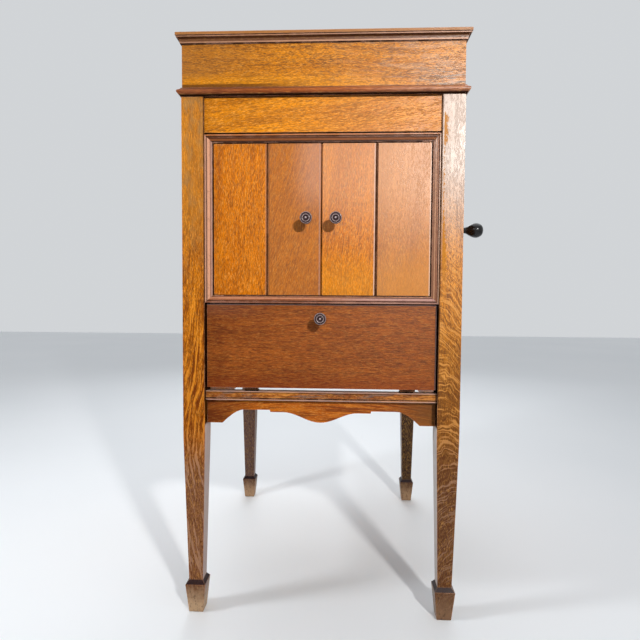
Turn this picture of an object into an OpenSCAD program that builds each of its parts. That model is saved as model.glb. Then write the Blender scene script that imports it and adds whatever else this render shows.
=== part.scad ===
// Table-legged gramophone cabinet in quarter-sawn oak.
// Millimetres, +Z up. The front faces -Y and the crank is on +X.
// The origin is on the floor, midway between the four feet.

/* [Overall] */
// Width over the legs
cabinet_w = 460; // [450:1:600]
// Depth over the legs
cabinet_d = 533; // [520:1:660]
// Clear height from the floor to the apron
leg_clear = 328; // [220:1:450]
// Height of the lid, from its lower edge to its top face
lid_h = 99.9; // [98:0.1:140]

/* [Legs] */
// Side of each square leg
leg_side = 36.8; // [32:0.2:46]
// Side of the shaft where it meets the foot
leg_ankle = 23.8; // [18:0.2:28]
// Drop from the apron's lower edge to where the taper begins
taper_drop = 22; // [5:1:60]
// Width of the foot at its rim
foot_rim = 34.1; // [29:0.1:36]
// Height of the rim above the floor
foot_rim_h = 49.4; // [35:0.1:70]
// Height of the sloping shoulder above the rim
foot_shoulder_h = 7; // [3:0.5:12]
// Width of the foot on the floor
foot_base = 24.1; // [18:0.1:30]

/* [Front] */
// Height of the shaped apron
apron_h = 40; // [36:1:60]
// Thickness of the apron
apron_t = 16; // [12:1:20]
// Height of the lower rail
bottom_rail_h = 16.5; // [14:0.5:24]
// Depth of the lower rail from front to back
bottom_rail_d = 16; // [14:1:18]
// Gap between the lower rail and the flap
flap_gap = 5.5; // [5.5:0.1:7]
// Height of the flap
flap_h = 141.2; // [120:0.2:200]
// Height of the moulded door surround
surround_h = 278.5; // [276:0.5:360]
// Width of the surround's moulding
surround_w = 12.4; // [11:0.1:16]
// Dark quirk between the top rail and the surround
surround_quirk = 2.5; // [1:0.1:4]
// Height of the top rail
top_rail_h = 56.9; // [50:0.1:80]
// Setback of the top rail behind the legs
rail_recess = 3; // [1:0.5:5]
// Setback of the lower rail behind the legs
bottom_rail_recess = 7; // [5:0.5:8]
// Setback of the doors and the flap behind the legs
door_recess = 10; // [9:0.5:12]
// Setback of the apron behind the legs
apron_recess = 16; // [12:1:20]

/* [Boards] */
// Thickness of the side and back panels
panel_t = 16; // [14:1:20]
// Setback of the side and back panels behind the legs
panel_recess = 3; // [1:0.5:5]
// Length and thickness of the tongues in the legs
tongue = 8; // [6:0.5:9]
// Thickness of the doors and the flap
door_t = 16; // [14:0.5:18]
// Thickness of the record floor and the shelf
shelf_t = 12; // [10:1:16]
// Thickness of the board that carries the motor
motor_board_t = 12; // [10:1:16]
// Depth of the motor board's top below the case's top
motor_board_drop = 10.4; // [8:0.2:14]
// Side of the bearers under the boards
bearer = 12; // [10:1:15]
// Thickness of the lid's four side boards
frieze_t = 14; // [12:1:16]
// Thickness of the lid's top panel
lid_top_t = 12; // [10:1:16]

/* [Doors, flap and knobs] */
// Gap between a door and the surround at its hinged edge
door_side_gap = 1.6; // [1.6:0.1:2.5]
// Gap above and below the doors
door_end_gap = 1.2; // [1.2:0.1:2]
// Gap between the two doors
door_meeting_gap = 1.5; // [1.2:0.1:3]
// Depth of the V between two door boards
board_v = 1.8; // [1:0.1:3]
// Radius of the door pivot pins
pivot_r = 2.5; // [2:0.1:2.8]
// Diameter of the turned knobs
knob_d = 20; // [16:0.5:26]
// Reach of the knobs in front of the wood
knob_reach = 28; // [20:0.5:34]
// Height of the door knobs above the foot of the doors
door_knob_h = 124.2; // [80:0.2:160]
// Distance of the door knobs from the middle
door_knob_x = 24; // [18:0.5:40]
// Distance of the flap's knob below its top edge
flap_knob_drop = 23; // [18:0.2:60]

/* [Lid] */
// Gap between the case and the closed lid
lid_gap = 0.5; // [0.4:0.1:1]
// Setback of the lid's boards behind the legs
frieze_inset = 1; // [0.5:0.1:2]
// Height of the moulding round the top of the lid
crown_h = 17; // [15:0.1:20]
// Overhang of that moulding beyond the boards
crown_out = 8.6; // [7:0.1:12]
// Height of the moulding round the foot of the lid
base_h = 14.1; // [12:0.1:18]
// Overhang of that moulding beyond the boards
base_out = 7.5; // [6:0.1:10]
// How far the lid opens, in degrees
lid_open = 72; // [60:1:73]
// Radius of the lid's quadrant stay about the hinge
stay_r = 200; // [190:1:205]

/* [Horn] */
// Width of the horn's mouth
mouth_w = 330; // [280:1:340]
// Height of the horn's mouth
mouth_h = 208; // [180:1:212]
// Inner side of the square throat
throat = 56; // [50:1:64]
// Thickness of the horn's boards
horn_board_t = 8; // [6:0.5:9]
// Outer radius of the iron elbow
elbow_r = 23; // [20:0.5:26]
// Wall of the iron elbow
elbow_wall = 3; // [2:0.5:4]

/* [Turntable and tone arm] */
// Diameter of the turntable
platter_d = 300; // [250:1:304]
// Radius of the record pin
record_pin_r = 3.57; // [3.5:0.01:3.6]
// Place of the turntable's spindle
spindle_xy = [-15, -15];
// Place of the tone arm's upright
arm_xy = [85, 185];
// Length of the arm, from its upright to the sound box
arm_l = 204; // [198:1:208]
// Angle of the parked arm
arm_park = 11.5; // [10:0.5:14]
// Radius of the sound box
soundbox_r = 27; // [24:0.5:29]

/* [Crank] */
// Distance from the winding shaft to the grip
crank_throw = 132.5; // [100:0.5:150]
// Radius of the winding shaft
crank_shaft_r = 5; // [4:0.5:6]
// Depth of the winding shaft below the case's top
crank_shaft_drop = 48.4; // [46:0.2:52]
// Radius of the grip at its widest
grip_r = 15.5; // [13:0.5:18]
// Length of the grip
grip_l = 71; // [60:1:80]

/* [Clearances] */
// Radial clearance of a shaft in its hole
run_fit = 0.05; // [0.02:0.01:0.1]
// Clearance between parts that pass each other
pass_gap = 0.5; // [0.3:0.1:1]
// Gap left in a glued or mitred joint, so that its pieces stay separate
joint_gap = 0.06; // [0.04:0.01:0.1]

/* [Hidden] */
$fn = 64;
fine = 0.01;
cut = 1;

// Colours
OAK = [0.66, 0.36, 0.12];
OAK_DARK = [0.42, 0.20, 0.08];
OAK_FLAP = [0.52, 0.25, 0.10];
BRASS = [0.78, 0.60, 0.28];
IRON = [0.16, 0.16, 0.17];
NICKEL = [0.75, 0.74, 0.70];
EBONY = [0.04, 0.03, 0.03];
FELT = [0.12, 0.24, 0.15];
MICA = [0.85, 0.80, 0.66];

// Plan
half_w = cabinet_w / 2;
half_d = cabinet_d / 2;
leg_x = half_w - leg_side / 2;
leg_y = half_d - leg_side / 2;
leg_in_x = half_w - leg_side;
leg_in_y = half_d - leg_side;
panel_x1 = half_w - panel_recess;
panel_x0 = panel_x1 - panel_t;
panel_y1 = half_d - panel_recess;
panel_y0 = panel_y1 - panel_t;
rail_front = -half_d + rail_recess;
bottom_rail_front = -half_d + bottom_rail_recess;
door_front = -half_d + door_recess;
door_back = door_front + door_t;
stop_gap = 1;
stop_y = door_back + stop_gap;
apron_front = -half_d + apron_recess;
frieze_x = half_w - frieze_inset;
frieze_y = half_d - frieze_inset;

// Heights
apron_z = leg_clear;
bottom_rail_z = apron_z + apron_h;
bottom_rail_top = bottom_rail_z + bottom_rail_h;
flap_z = bottom_rail_top + flap_gap;
flap_top = flap_z + flap_h;
flap_reveal = 1.8;
surround_z = flap_top + flap_reveal;
surround_top = surround_z + surround_h;
case_h = surround_top + top_rail_h;
taper_z = apron_z - taper_drop;
panel_rise = 2;
panel_z = apron_z + panel_rise;
record_floor_z = flap_z;
shelf_z = surround_z;
shelf_top = shelf_z + shelf_t;
motor_board_top = case_h - motor_board_drop;
motor_board_z = motor_board_top - motor_board_t;
lid_z = case_h + lid_gap;
lid_top = lid_z + lid_h;
lid_ceiling = lid_top - lid_top_t;

// Door opening inside the surround
open_x = leg_in_x - surround_w;
open_z = surround_z + surround_w;
open_top = surround_top - surround_quirk - surround_w;
door_x = open_x - door_side_gap;
door_z = open_z + door_end_gap;
door_top = open_top - door_end_gap;
board_split = door_x / 2;
pivot_inset = 3;
pivot_x = door_x - pivot_inset;
pivot_y = door_front + pivot_inset;
pivot_plate_t = 2;
pivot_plate_l = 13;
pivot_reach = 8;
socket_r = 4;
spigot_r = 3;
spigot_l = 12;

// Tenons of the two rails: length, thickness and height; then their shoulders in front and below
top_tenon = [20, 10, 36];
bottom_tenon = [15, 8, 8];
top_shoulder = [7, 8];
bottom_shoulder = [4, 4];
top_tenon_y = rail_front + top_shoulder[0];
top_tenon_z = surround_top + top_shoulder[1];
bottom_tenon_y = bottom_rail_front + bottom_shoulder[0];
bottom_tenon_z = bottom_rail_z + bottom_shoulder[1];
top_rail_back = stop_y;

// Apron outline
apron_block = 26;
arch_run = 39;
arch_rise = 23.2;
notch_x = 86;
notch_step = 3.6;
tongue_x = 63;
tongue_drop = 17;
apron_steps = 12;

// Flap hinge
flap_pin_inset = 1.5;
flap_pin_y = door_front + flap_pin_inset;
flap_pin_z = bottom_rail_top + flap_gap / 2;
flap_side_gap = 1.7;
flap_x = leg_in_x - flap_side_gap;
flap_hinge_l = 22.5;
flap_hinge_x = [-116, 143.5];
flap_knuckle_r = 2.3;
flap_leaf_w = 11;

// Lid hinge
lid_hinge_l = 60;
lid_hinge_x = 150;
lid_knuckle_r = 3;
leaf_t = 1.6;
lid_leaf_w = 18;
lid_pin_y = half_d + lid_knuckle_r;
lid_pin_z = case_h + lid_gap / 2;
hinge_pin_r = 1.2;
knuckle_gap = 0.3;

// Quadrant stay
stay_w = 6;
stay_t = 2;
stay_stud_out = 2;
stay_clear = 1;
stay_x = leg_in_x - stay_clear - stay_stud_out - stay_t;
stay_guide_dz = motor_board_z - lid_pin_z;
stay_guide_a = asin(-stay_guide_dz / stay_r);
stay_spare_a = 2;
stay_low_a = stay_guide_a + lid_open + stay_spare_a;
stay_high_a = 11;
stay_slot_y = lid_pin_y - stay_r;

// Horn
horn_frame_t = 10;
horn_y0 = stop_y + horn_frame_t;
horn_frame_rise = 18;
horn_frame_top = surround_top + horn_frame_rise;
mouth_sill = 10;
mouth_z = shelf_top + mouth_sill;
mouth_top = mouth_z + mouth_h;
elbow_bend = 45;
flange_t = 5;
elbow_neck = 22;
horn_y1 = arm_xy[1] - elbow_bend - elbow_neck;
throat_drop = 36;
throat_z = mouth_top - throat_drop;

// Turntable
platter_r = platter_d / 2;
platter_clear = 8;
platter_h = 10;
platter_rim_z = motor_board_top + platter_clear;
platter_top = platter_rim_z + platter_h;
mat_t = 2;
mat_top = platter_top + mat_t;
record_pin_h = 14;
spindle_r = 4;
hub_r = 12;

// Motor, hung under the board
motor_plate_t = 3;
top_plate_drop = 14;
bottom_plate_drop = 70;
top_plate_z = motor_board_z - top_plate_drop;
bottom_plate_z = motor_board_z - bottom_plate_drop;
shaft_z = case_h - crank_shaft_drop;
worm_r = 8;
worm_wheel_r = 22.5;
worm_gap = 0.4;
barrel_xy = [35, worm_r + worm_wheel_r + worm_gap];
barrel_r = 44;
great_teeth = 80;
great_mod = 1.2;
inter_pinion_teeth = 12;
inter_teeth = 72;
inter_mod = 1;
spindle_teeth = 14;
backlash = 0.35;
d_great = (great_teeth + inter_pinion_teeth) * great_mod / 2;
d_inter = (inter_teeth + spindle_teeth) * inter_mod / 2;
inter_wheel_rise = 7;
great_rise = 14;
inter_wheel_z = bottom_plate_z + inter_wheel_rise;
great_z = bottom_plate_z + great_rise;
gear_face = 3.5;
gear_extra = 0.5;
arbor_r = 3;
worm_room = 1;
barrel_top = shaft_z - worm_r - worm_room;
pillar_x = [-80, 88];
pillar_y = [-66, 84];
pillar_r = 4;
pillar_bolt_r = 3;
hanger_t = 4;
hanger_x = [-25, 21];
governor_wheel_r = 22;
governor_shaft_r = 2.5;
governor_worm_r = 5;
governor_y = spindle_xy[1] - governor_wheel_r - governor_worm_r - worm_gap;
governor_drop = 10;
governor_z = shaft_z - governor_drop;
governor_x0 = -74;
governor_x1 = 4;
governor_wheel_t = 4;

// Tone arm
base_r = 15;
base_flange_r = 36;
base_flange_t = 4;
arm_base_h = 26;
base_top = motor_board_top + arm_base_h;
arm_rise = 38.3;
arm_z = mat_top + arm_rise;
arm_wall = 1.5;
arm_r0 = 12;
arm_r1 = 9;
arm_bend = 22;
end_bend = 14;
needle_drop = 36;
needle_reach = 21;
soundbox_t = 12;
soundbox_rim = 3;
socket_l = 8;
needle_r = 0.8;

// Crank
panel_hole_r = 8.1;
bush_r = 8;
escutcheon_r = 18;
escutcheon_t = 2.5;
crank_stand = 20;
arm_x0 = half_w + crank_stand;
crank_arm_t = 6;
crank_arm_w = 12;
crank_boss_l = 4;
grip_pin_r = 4;
grip_z = shaft_z - crank_throw;
grip_stand = 7.5;
grip_x0 = arm_x0 + crank_arm_t + grip_stand;
grip_x1 = grip_x0 + grip_l;

// Small fittings on the motor board
cup_r = 18;
cup_depth = 9;
cup_xy = [[174, -150], [174, -198]];
brake_a = -50;
brake_gap = 24;
brake_dist = platter_r + brake_gap;
brake_xy = spindle_xy + brake_dist * [cos(brake_a), sin(brake_a)];
speed_xy = [-150, -198];
lever_pin_r = 3;
screw_x = [-150, 0, 150];
screw_r = 1.8;
screw_l = 28;
catch_x = 12;
catch_r = 3;
catch_l = 9;

// ---------- Helpers ----------

// A box between two corners
module span(a, b) translate(a) cube(b - a);

// A square frustum, centred on the axis
module frustum(z0, w0, z1, w1)
    translate([0, 0, z0]) linear_extrude(height = z1 - z0, scale = w1 / w0) square(w0, center = true);

// A cylinder along +X from x0 to x1, at y and z
module rod_x(x0, x1, y, z, r) translate([x0, y, z]) rotate([0, 90, 0]) cylinder(r = r, h = x1 - x0);

// An outline of (y, z) points drawn out along X from x0 to x1
module along_x(x0, x1, points)
    translate([x0, 0, 0]) rotate([90, 0, 90]) linear_extrude(height = x1 - x0) polygon(points);

// An outline of (x, z) points drawn out along Y from y0 to y1
module along_y(y0, y1, points)
    translate([0, y1, 0]) rotate([90, 0, 0]) linear_extrude(height = y1 - y0) polygon(points);

// A plan outline drawn out along Z from z0 to z1
module along_z(z0, z1, points) translate([0, 0, z0]) linear_extrude(height = z1 - z0) polygon(points);

// A straight-sided block with six flat faces: four corners in front, four behind
module block(front, back)
    polyhedron(points = concat(front, back),
        faces = [[0, 1, 2, 3], [7, 6, 5, 4], [1, 0, 4, 5], [2, 1, 5, 6], [3, 2, 6, 7], [0, 3, 7, 4]]);

// Points of an arc about c, from angle a0 to a1
function arc(c, r, a0, a1, n = 6) = [for (i = [0:n]) let (a = a0 + (a1 - a0) * i / n)
    c + r * [cos(a), sin(a)]];

// ---------- Legs ----------

// The leg on the +X, +Y side; a front leg is mortised for the rails, a back leg is grooved
module corner_leg(is_front) {
    difference() {
        translate([leg_x, leg_y, 0]) {
            frustum(0, foot_base, foot_rim_h, foot_rim);
            frustum(foot_rim_h, foot_rim, foot_rim_h + foot_shoulder_h, leg_ankle);
            frustum(foot_rim_h + foot_shoulder_h, leg_ankle, taper_z, leg_side);
            frustum(taper_z, leg_side, case_h, leg_side);
        }
        span([panel_x0 + (panel_t - tongue) / 2, leg_in_y - cut, panel_z],
            [panel_x1 - (panel_t - tongue) / 2, leg_in_y + tongue, case_h + cut]);
        if (is_front) {
            span([leg_in_x - cut, -top_tenon_y - top_tenon[1], top_tenon_z],
                [leg_in_x + top_tenon[0], -top_tenon_y, top_tenon_z + top_tenon[2]]);
            span([leg_in_x - cut, -bottom_tenon_y - bottom_tenon[1], bottom_tenon_z],
                [leg_in_x + bottom_tenon[0], -bottom_tenon_y, bottom_tenon_z + bottom_tenon[2]]);
        } else {
            span([leg_in_x - cut, panel_y0 + (panel_t - tongue) / 2, panel_z],
                [leg_in_x + tongue, panel_y1 - (panel_t - tongue) / 2, case_h + cut]);
        }
    }
}

module left_front_leg() { color(OAK) mirror([1, 0, 0]) mirror([0, 1, 0]) corner_leg(true); }
module right_front_leg() { color(OAK) mirror([0, 1, 0]) corner_leg(true); }
module left_back_leg() { color(OAK) mirror([1, 0, 0]) corner_leg(false); }
module right_back_leg() { color(OAK) corner_leg(false); }

// ---------- Front rails ----------

module both_ends(size, y, z)
    for (s = [-1, 1])
        translate([s > 0 ? leg_in_x : -leg_in_x - size[0], y, z]) cube(size);

module front_top_rail() {
    color(OAK) {
        span([-leg_in_x, rail_front, surround_top], [leg_in_x, top_rail_back, case_h]);
        both_ends(top_tenon, top_tenon_y, top_tenon_z);
    }
}

module front_bottom_rail() {
    bead_r = 1.8;
    bead_z = bottom_rail_z + 0.4 + bead_r;
    quirk = 1.2;
    back = bottom_rail_front + bottom_rail_d;
    color(OAK_DARK) {
        along_x(-leg_in_x, leg_in_x, concat(
            [[back, bottom_rail_z], [bottom_rail_front + quirk, bottom_rail_z]],
            arc([bottom_rail_front + quirk, bead_z], bead_r, 270, 90),
            [[bottom_rail_front + quirk, bead_z + bead_r + quirk],
             [bottom_rail_front, bead_z + bead_r + quirk],
             [bottom_rail_front, bottom_rail_top - 0.8],
             [bottom_rail_front + 0.8, bottom_rail_top], [back, bottom_rail_top]]));
        both_ends(bottom_tenon, bottom_tenon_y, bottom_tenon_z);
    }
}

// Height of the apron's lower edge above its lowest line, at a distance x from the middle
function apron_rise(x) =
    let (block_x = leg_in_x - apron_block, arch_x = block_x - arch_run)
    x >= block_x ? 0 :
    x > arch_x ? arch_rise * sin(90 * (block_x - x) / arch_run) :
    x > notch_x ? arch_rise :
    x > tongue_x ? arch_rise - notch_step :
    arch_rise - notch_step - tongue_drop * (1 + cos(180 * x / tongue_x)) / 2;

function apron_half() =
    let (block_x = leg_in_x - apron_block, arch_x = block_x - arch_run)
    concat([for (i = [0:apron_steps]) tongue_x * i / apron_steps],
        [notch_x - 1, notch_x + fine],
        [for (i = [apron_steps:-1:0]) arch_x + arch_run * (1 - i / apron_steps)],
        [leg_in_x]);

module front_apron() {
    xs = apron_half();
    lower = [for (x = xs) [x, apron_z + apron_rise(x)]];
    mirrored = [for (i = [len(lower) - 1:-1:1]) [-lower[i][0], lower[i][1]]];
    color(OAK) along_y(apron_front, apron_front + apron_t,
        concat(mirrored, lower, [[leg_in_x, bottom_rail_z], [-leg_in_x, bottom_rail_z]]));
}

// ---------- Panels and inner boards ----------

// The +X side panel with a tongue along each upright edge
module side_panel() {
    span([panel_x0, -leg_in_y, panel_z], [panel_x1, leg_in_y, case_h]);
    span([panel_x0 + (panel_t - tongue) / 2, -leg_in_y - tongue, panel_z],
        [panel_x1 - (panel_t - tongue) / 2, leg_in_y + tongue, case_h]);
}

module left_side_panel() { color(OAK) mirror([1, 0, 0]) side_panel(); }

module right_side_panel() {
    color(OAK) difference() {
        side_panel();
        rod_x(panel_x0 - cut, panel_x1 + cut, 0, shaft_z, panel_hole_r);
    }
}

// Places of the screws that hold the back: three into each of two boards
module at_screws()
    for (x = screw_x, z = [record_floor_z, shelf_z])
        translate([x, panel_y1, z + shelf_t / 2]) rotate([90, 0, 0]) children();

module back_panel() {
    color(OAK_DARK) difference() {
        union() {
            span([-leg_in_x, panel_y0, panel_z], [leg_in_x, panel_y1, case_h]);
            span([-leg_in_x - tongue, panel_y0 + (panel_t - tongue) / 2, panel_z],
                [leg_in_x + tongue, panel_y1 - (panel_t - tongue) / 2, case_h]);
        }
        at_screws() translate([0, 0, -cut]) cylinder(r = screw_r + run_fit, h = screw_l);
        for (s = [-1, 1]) translate([s * lid_hinge_x, 0, 0])
            span([-lid_hinge_l / 2, lid_pin_y - lid_leaf_w, case_h - leaf_t],
                [lid_hinge_l / 2, panel_y1 + cut, case_h + cut]);
    }
}

module back_screws() {
    head_r = 4;
    head_h = 2;
    slot = 0.8;
    color(BRASS) at_screws() {
        cylinder(r = screw_r, h = screw_l - cut);
        difference() {
            translate([0, 0, -head_h]) cylinder(r = head_r, h = head_h);
            translate([-head_r, -slot / 2, -head_h - cut]) cube([head_r * 2, slot, cut + slot]);
        }
    }
}

// A board between the side panels, notched round the legs
module full_board(y0, y1, z0, z1, gap) {
    difference() {
        span([-panel_x0 + gap, y0 + gap, z0], [panel_x0 - gap, y1 - gap, z1]);
        for (sx = [-1, 1], sy = [-1, 1])
            translate([sx * leg_x, sy * leg_y, z0 - cut])
                translate([-leg_side / 2 - gap, -leg_side / 2 - gap, 0])
                    cube([leg_side + 2 * gap, leg_side + 2 * gap, z1 - z0 + 2 * cut]);
    }
}

module record_floor() {
    color(OAK) difference() {
        full_board(stop_y, panel_y0, record_floor_z, record_floor_z + shelf_t, 0);
        at_screws() cylinder(r = screw_r + run_fit, h = screw_l);
    }
}

module middle_shelf() {
    color(OAK) difference() {
        full_board(stop_y, panel_y0, shelf_z, shelf_top, 0);
        at_screws() cylinder(r = screw_r + run_fit, h = screw_l);
    }
}

module bearers() {
    levels = [record_floor_z, shelf_z, motor_board_z];
    color(OAK) for (s = [-1, 1], z = levels)
        translate([s > 0 ? panel_x0 - bearer : -panel_x0, -leg_in_y, z - bearer])
            cube([bearer, 2 * leg_in_y, bearer]);
}

module motor_board() {
    hole_r = 7;
    color(OAK) difference() {
        full_board(stop_y, panel_y0, motor_board_z, motor_board_top, pass_gap);
        translate([0, 0, motor_board_z - cut]) {
            translate(spindle_xy) cylinder(r = hole_r, h = motor_board_t + 2 * cut);
            translate(arm_xy) cylinder(r = elbow_r - elbow_wall, h = motor_board_t + 2 * cut);
            for (p = cup_xy) translate(p) cylinder(r = cup_r + run_fit, h = motor_board_t + 2 * cut);
            for (p = [speed_xy, brake_xy])
                translate(p) cylinder(r = lever_pin_r + run_fit, h = motor_board_t + 2 * cut);
            for (x = pillar_x, y = pillar_y)
                translate([x, y, 0]) cylinder(r = pillar_bolt_r + run_fit, h = motor_board_t + 2 * cut);
        }
        span([stay_x - pass_gap, stay_slot_y - stay_w / 2 - 2 * pass_gap, motor_board_z - cut],
            [stay_x + stay_t + pass_gap, stay_slot_y + stay_w, motor_board_top + cut]);
    }
}

// ---------- Door surround ----------

// Outline of the surround's moulding: distance in from the outer edge, setback from the legs.
// A fillet, a quirk, a bead and a slope that falls towards the doors.
function surround_profile(w, extra) =
    let (fillet_w = 2.2, quirk_d = 1.6, quirk_back = 4, bead_r = 1.7, bead_x = 4.6, bead_y = 2.2,
        edge_w = 1.6, slope_y = 5.4, edge_y = 5.8)
    concat(
        [[-extra, rail_recess + quirk_back], [0, rail_recess + quirk_back], [0, rail_recess],
         [fillet_w, rail_recess], [fillet_w, rail_recess + quirk_d]],
        arc([bead_x, rail_recess + bead_y], bead_r, 180, 320, 5),
        [[w - edge_w, rail_recess + slope_y], [w, rail_recess + edge_y], [w, stop_y + half_d],
         [-extra, stop_y + half_d]]);

module door_surround() {
    outer = surround_top - surround_quirk;
    side = surround_profile(surround_w, 0);
    head = surround_profile(surround_w, surround_quirk);
    color(OAK_DARK) difference() {
        union() {
            for (s = [-1, 1]) intersection() {
                along_z(surround_z, outer, [for (p = side) [s * (leg_in_x - p[0]), p[1] - half_d]]);
                along_y(-half_d, stop_y, [[s * leg_in_x, surround_z + joint_gap],
                    [s * open_x, open_z + joint_gap], [s * open_x, open_top - joint_gap],
                    [s * leg_in_x, outer - joint_gap]]);
            }
            intersection() {
                along_x(-leg_in_x, leg_in_x, [for (p = side) [p[1] - half_d, surround_z + p[0]]]);
                along_y(-half_d, stop_y, [[-leg_in_x, surround_z], [leg_in_x, surround_z],
                    [open_x, open_z], [-open_x, open_z]]);
            }
            intersection() {
                along_x(-leg_in_x, leg_in_x, [for (p = head) [p[1] - half_d, outer - p[0]]]);
                along_y(-half_d, stop_y, [[-leg_in_x, surround_top], [leg_in_x, surround_top],
                    [leg_in_x, outer], [open_x, open_top], [-open_x, open_top],
                    [-leg_in_x, outer]]);
            }
        }
        at_door_pivots() socket_body(run_fit);
        at_catches() cylinder(r = catch_r + run_fit, h = catch_l + run_fit);
    }
}

// The four places of the door pivots, each with +Z pointing out of the opening
module at_door_pivots(sides = [-1, 1])
    for (s = sides) {
        mirror([s < 0 ? 1 : 0, 0, 0]) translate([pivot_x, pivot_y, open_top]) children();
        mirror([s < 0 ? 1 : 0, 0, 0]) translate([pivot_x, pivot_y, open_z]) mirror([0, 0, 1])
            children();
    }

// A brass socket let into the surround; a gap above zero gives its recess
module socket_body(gap) {
    span([-pivot_plate_l - gap, -socket_r - gap, -gap],
        [socket_r + gap, socket_r + gap, pivot_plate_t + gap]);
    cylinder(r = socket_r + gap, h = pivot_reach + pivot_plate_t + gap);
}

// The three ball catches: one over each door, one over the flap
module at_catches() {
    for (s = [-1, 1]) translate([s * catch_x, door_front + door_t / 2, open_top]) children();
    translate([0, door_front + door_t / 2, surround_z]) children();
}

module surround_brass() {
    ball_r = 2.2;
    ball_out = 0.6;
    color(BRASS) {
        at_door_pivots() difference() {
            socket_body(0);
            translate([0, 0, -cut])
                cylinder(r = pivot_r + run_fit, h = pivot_reach + cut);
        }
        at_catches() {
            cylinder(r = catch_r, h = catch_l);
            translate([0, 0, ball_r - ball_out]) sphere(r = ball_r);
        }
    }
}

// ---------- Doors ----------

// One door board between x = a and x = b, with a V along the chosen front edges
module door_board(a, b, v_a, v_b)
    along_z(door_z, door_top, [[a, door_back], [a, door_front + v_a], [a + v_a, door_front],
        [b - v_b, door_front], [b, door_front + v_b + fine], [b, door_back]]);

module door_boards() {
    difference() {
        union() {
            door_board(door_meeting_gap / 2, board_split - joint_gap, board_v, board_v);
            door_board(board_split, door_x, board_v, 0);
        }
        at_door_pivots([1]) translate([0, 0, -door_end_gap]) pivot_body(run_fit);
        at_door_knob() translate([0, 0, -spigot_l]) cylinder(r = spigot_r + run_fit, h = spigot_l + cut);
    }
}

module at_door_knob() translate([door_knob_x, door_front, door_z + door_knob_h])
    rotate([90, 0, 0]) children();

// Two ledges that hold the boards of one door together, clear inside the horn's mouth
module door_battens() {
    batten_h = 30;
    batten_t = 9;
    inset = 20;
    for (z = [mouth_z + inset, mouth_top - inset - batten_h])
        span([inset, door_back, z], [mouth_w / 2 - inset, door_back + batten_t, z + batten_h]);
}

// A plate let into the end of the door, and its pin
module pivot_body(gap) {
    edge = pivot_inset - 0.3;
    span([-pivot_plate_l - gap, -edge - gap, -pivot_plate_t - gap], [edge + gap, edge * 2 + gap, gap]);
    if (gap == 0) cylinder(r = pivot_r, h = door_end_gap + pivot_reach - pass_gap);
}

// A turned knob along +Z: a spigot, a foot, a slim neck and a head with rings on its face
module knob() {
    r = knob_d / 2;
    foot_r = 0.62 * r;
    foot_t = 1.5;
    neck_r = 0.42 * r;
    rim_r = 0.32 * r;
    rim_z = knob_reach - 0.6 * r;
    face_z = rim_z + 0.2 * r;
    ring_d = 0.12 * r;
    button_r = 0.4 * r;
    rings = [[0.7, 0], [0.68, -1], [0.58, -1], [0.55, 1], [0.42, 1], [0.39, -1], [0.3, -1]];
    rotate_extrude() polygon(concat(
        [[0, -spigot_l + pass_gap], [spigot_r, -spigot_l + pass_gap], [spigot_r, 0],
         [foot_r, 0], [foot_r, foot_t], [neck_r + foot_t, 2 * foot_t], [neck_r, rim_z / 3],
         [neck_r + foot_t / 2, rim_z * 2 / 3]],
        arc([r - rim_r, rim_z], rim_r, -70, 80, 8),
        [for (p = rings) [p[0] * r, face_z + p[1] * ring_d]],
        arc([0, knob_reach - button_r], button_r, 42, 90, 5)));
}

module left_door_boards() { color(OAK) mirror([1, 0, 0]) door_boards(); }
module right_door_boards() { color(OAK) door_boards(); }
module left_door_battens() { color(OAK_DARK) mirror([1, 0, 0]) door_battens(); }
module right_door_battens() { color(OAK_DARK) door_battens(); }
module left_door_knob() { color(OAK_DARK) mirror([1, 0, 0]) at_door_knob() knob(); }
module right_door_knob() { color(OAK_DARK) at_door_knob() knob(); }

module left_door_pivots() {
    color(BRASS) at_door_pivots([-1]) translate([0, 0, -door_end_gap]) pivot_body(0);
}

module right_door_pivots() {
    color(BRASS) at_door_pivots([1]) translate([0, 0, -door_end_gap]) pivot_body(0);
}

// ---------- Hinges and the flap ----------

// Half of a butt hinge about the X axis. Its leaf lies on the -Y side, from z0 up.
// Knuckles with an odd or even number belong to it, and one half carries the pin.
module hinge_half(l, r, leaf_w, z0, odd, has_pin) {
    knuckles = 5;
    step = l / knuckles;
    clear = r + knuckle_gap;
    difference() {
        union() {
            span([-l / 2, -leaf_w, z0], [l / 2, -clear, z0 + leaf_t]);
            for (i = [odd:2:knuckles - 1]) {
                x0 = -l / 2 + i * step + knuckle_gap / 2;
                x1 = x0 + step - knuckle_gap;
                rod_x(x0, x1, 0, 0, r);
                span([x0, -clear - fine, z0], [x1, 0, z0 + leaf_t]);
            }
        }
        if (!has_pin) rod_x(-l, l, 0, 0, hinge_pin_r + run_fit);
    }
    if (has_pin) rod_x(-l / 2 + knuckle_gap, l / 2 - knuckle_gap, 0, 0, hinge_pin_r);
}

module at_lid_hinges()
    for (s = [-1, 1]) translate([s * lid_hinge_x, lid_pin_y, lid_pin_z]) children();

module at_flap_hinges()
    for (x = flap_hinge_x) translate([x, flap_pin_y, flap_pin_z]) mirror([0, 1, 0]) children();

module case_hinge_leaves() {
    color(BRASS) {
        at_lid_hinges() hinge_half(lid_hinge_l, lid_knuckle_r, lid_leaf_w,
            -lid_gap / 2 - leaf_t, 0, true);
        at_flap_hinges() hinge_half(flap_hinge_l, flap_knuckle_r, flap_leaf_w,
            -flap_gap / 2, 0, true);
    }
}

module flap_hinge_leaves() {
    color(BRASS) at_flap_hinges() hinge_half(flap_hinge_l, flap_knuckle_r, flap_leaf_w,
        flap_gap / 2 - leaf_t, 1, false);
}

module at_flap_knob() translate([0, door_front, flap_top - flap_knob_drop])
    rotate([90, 0, 0]) children();

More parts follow.
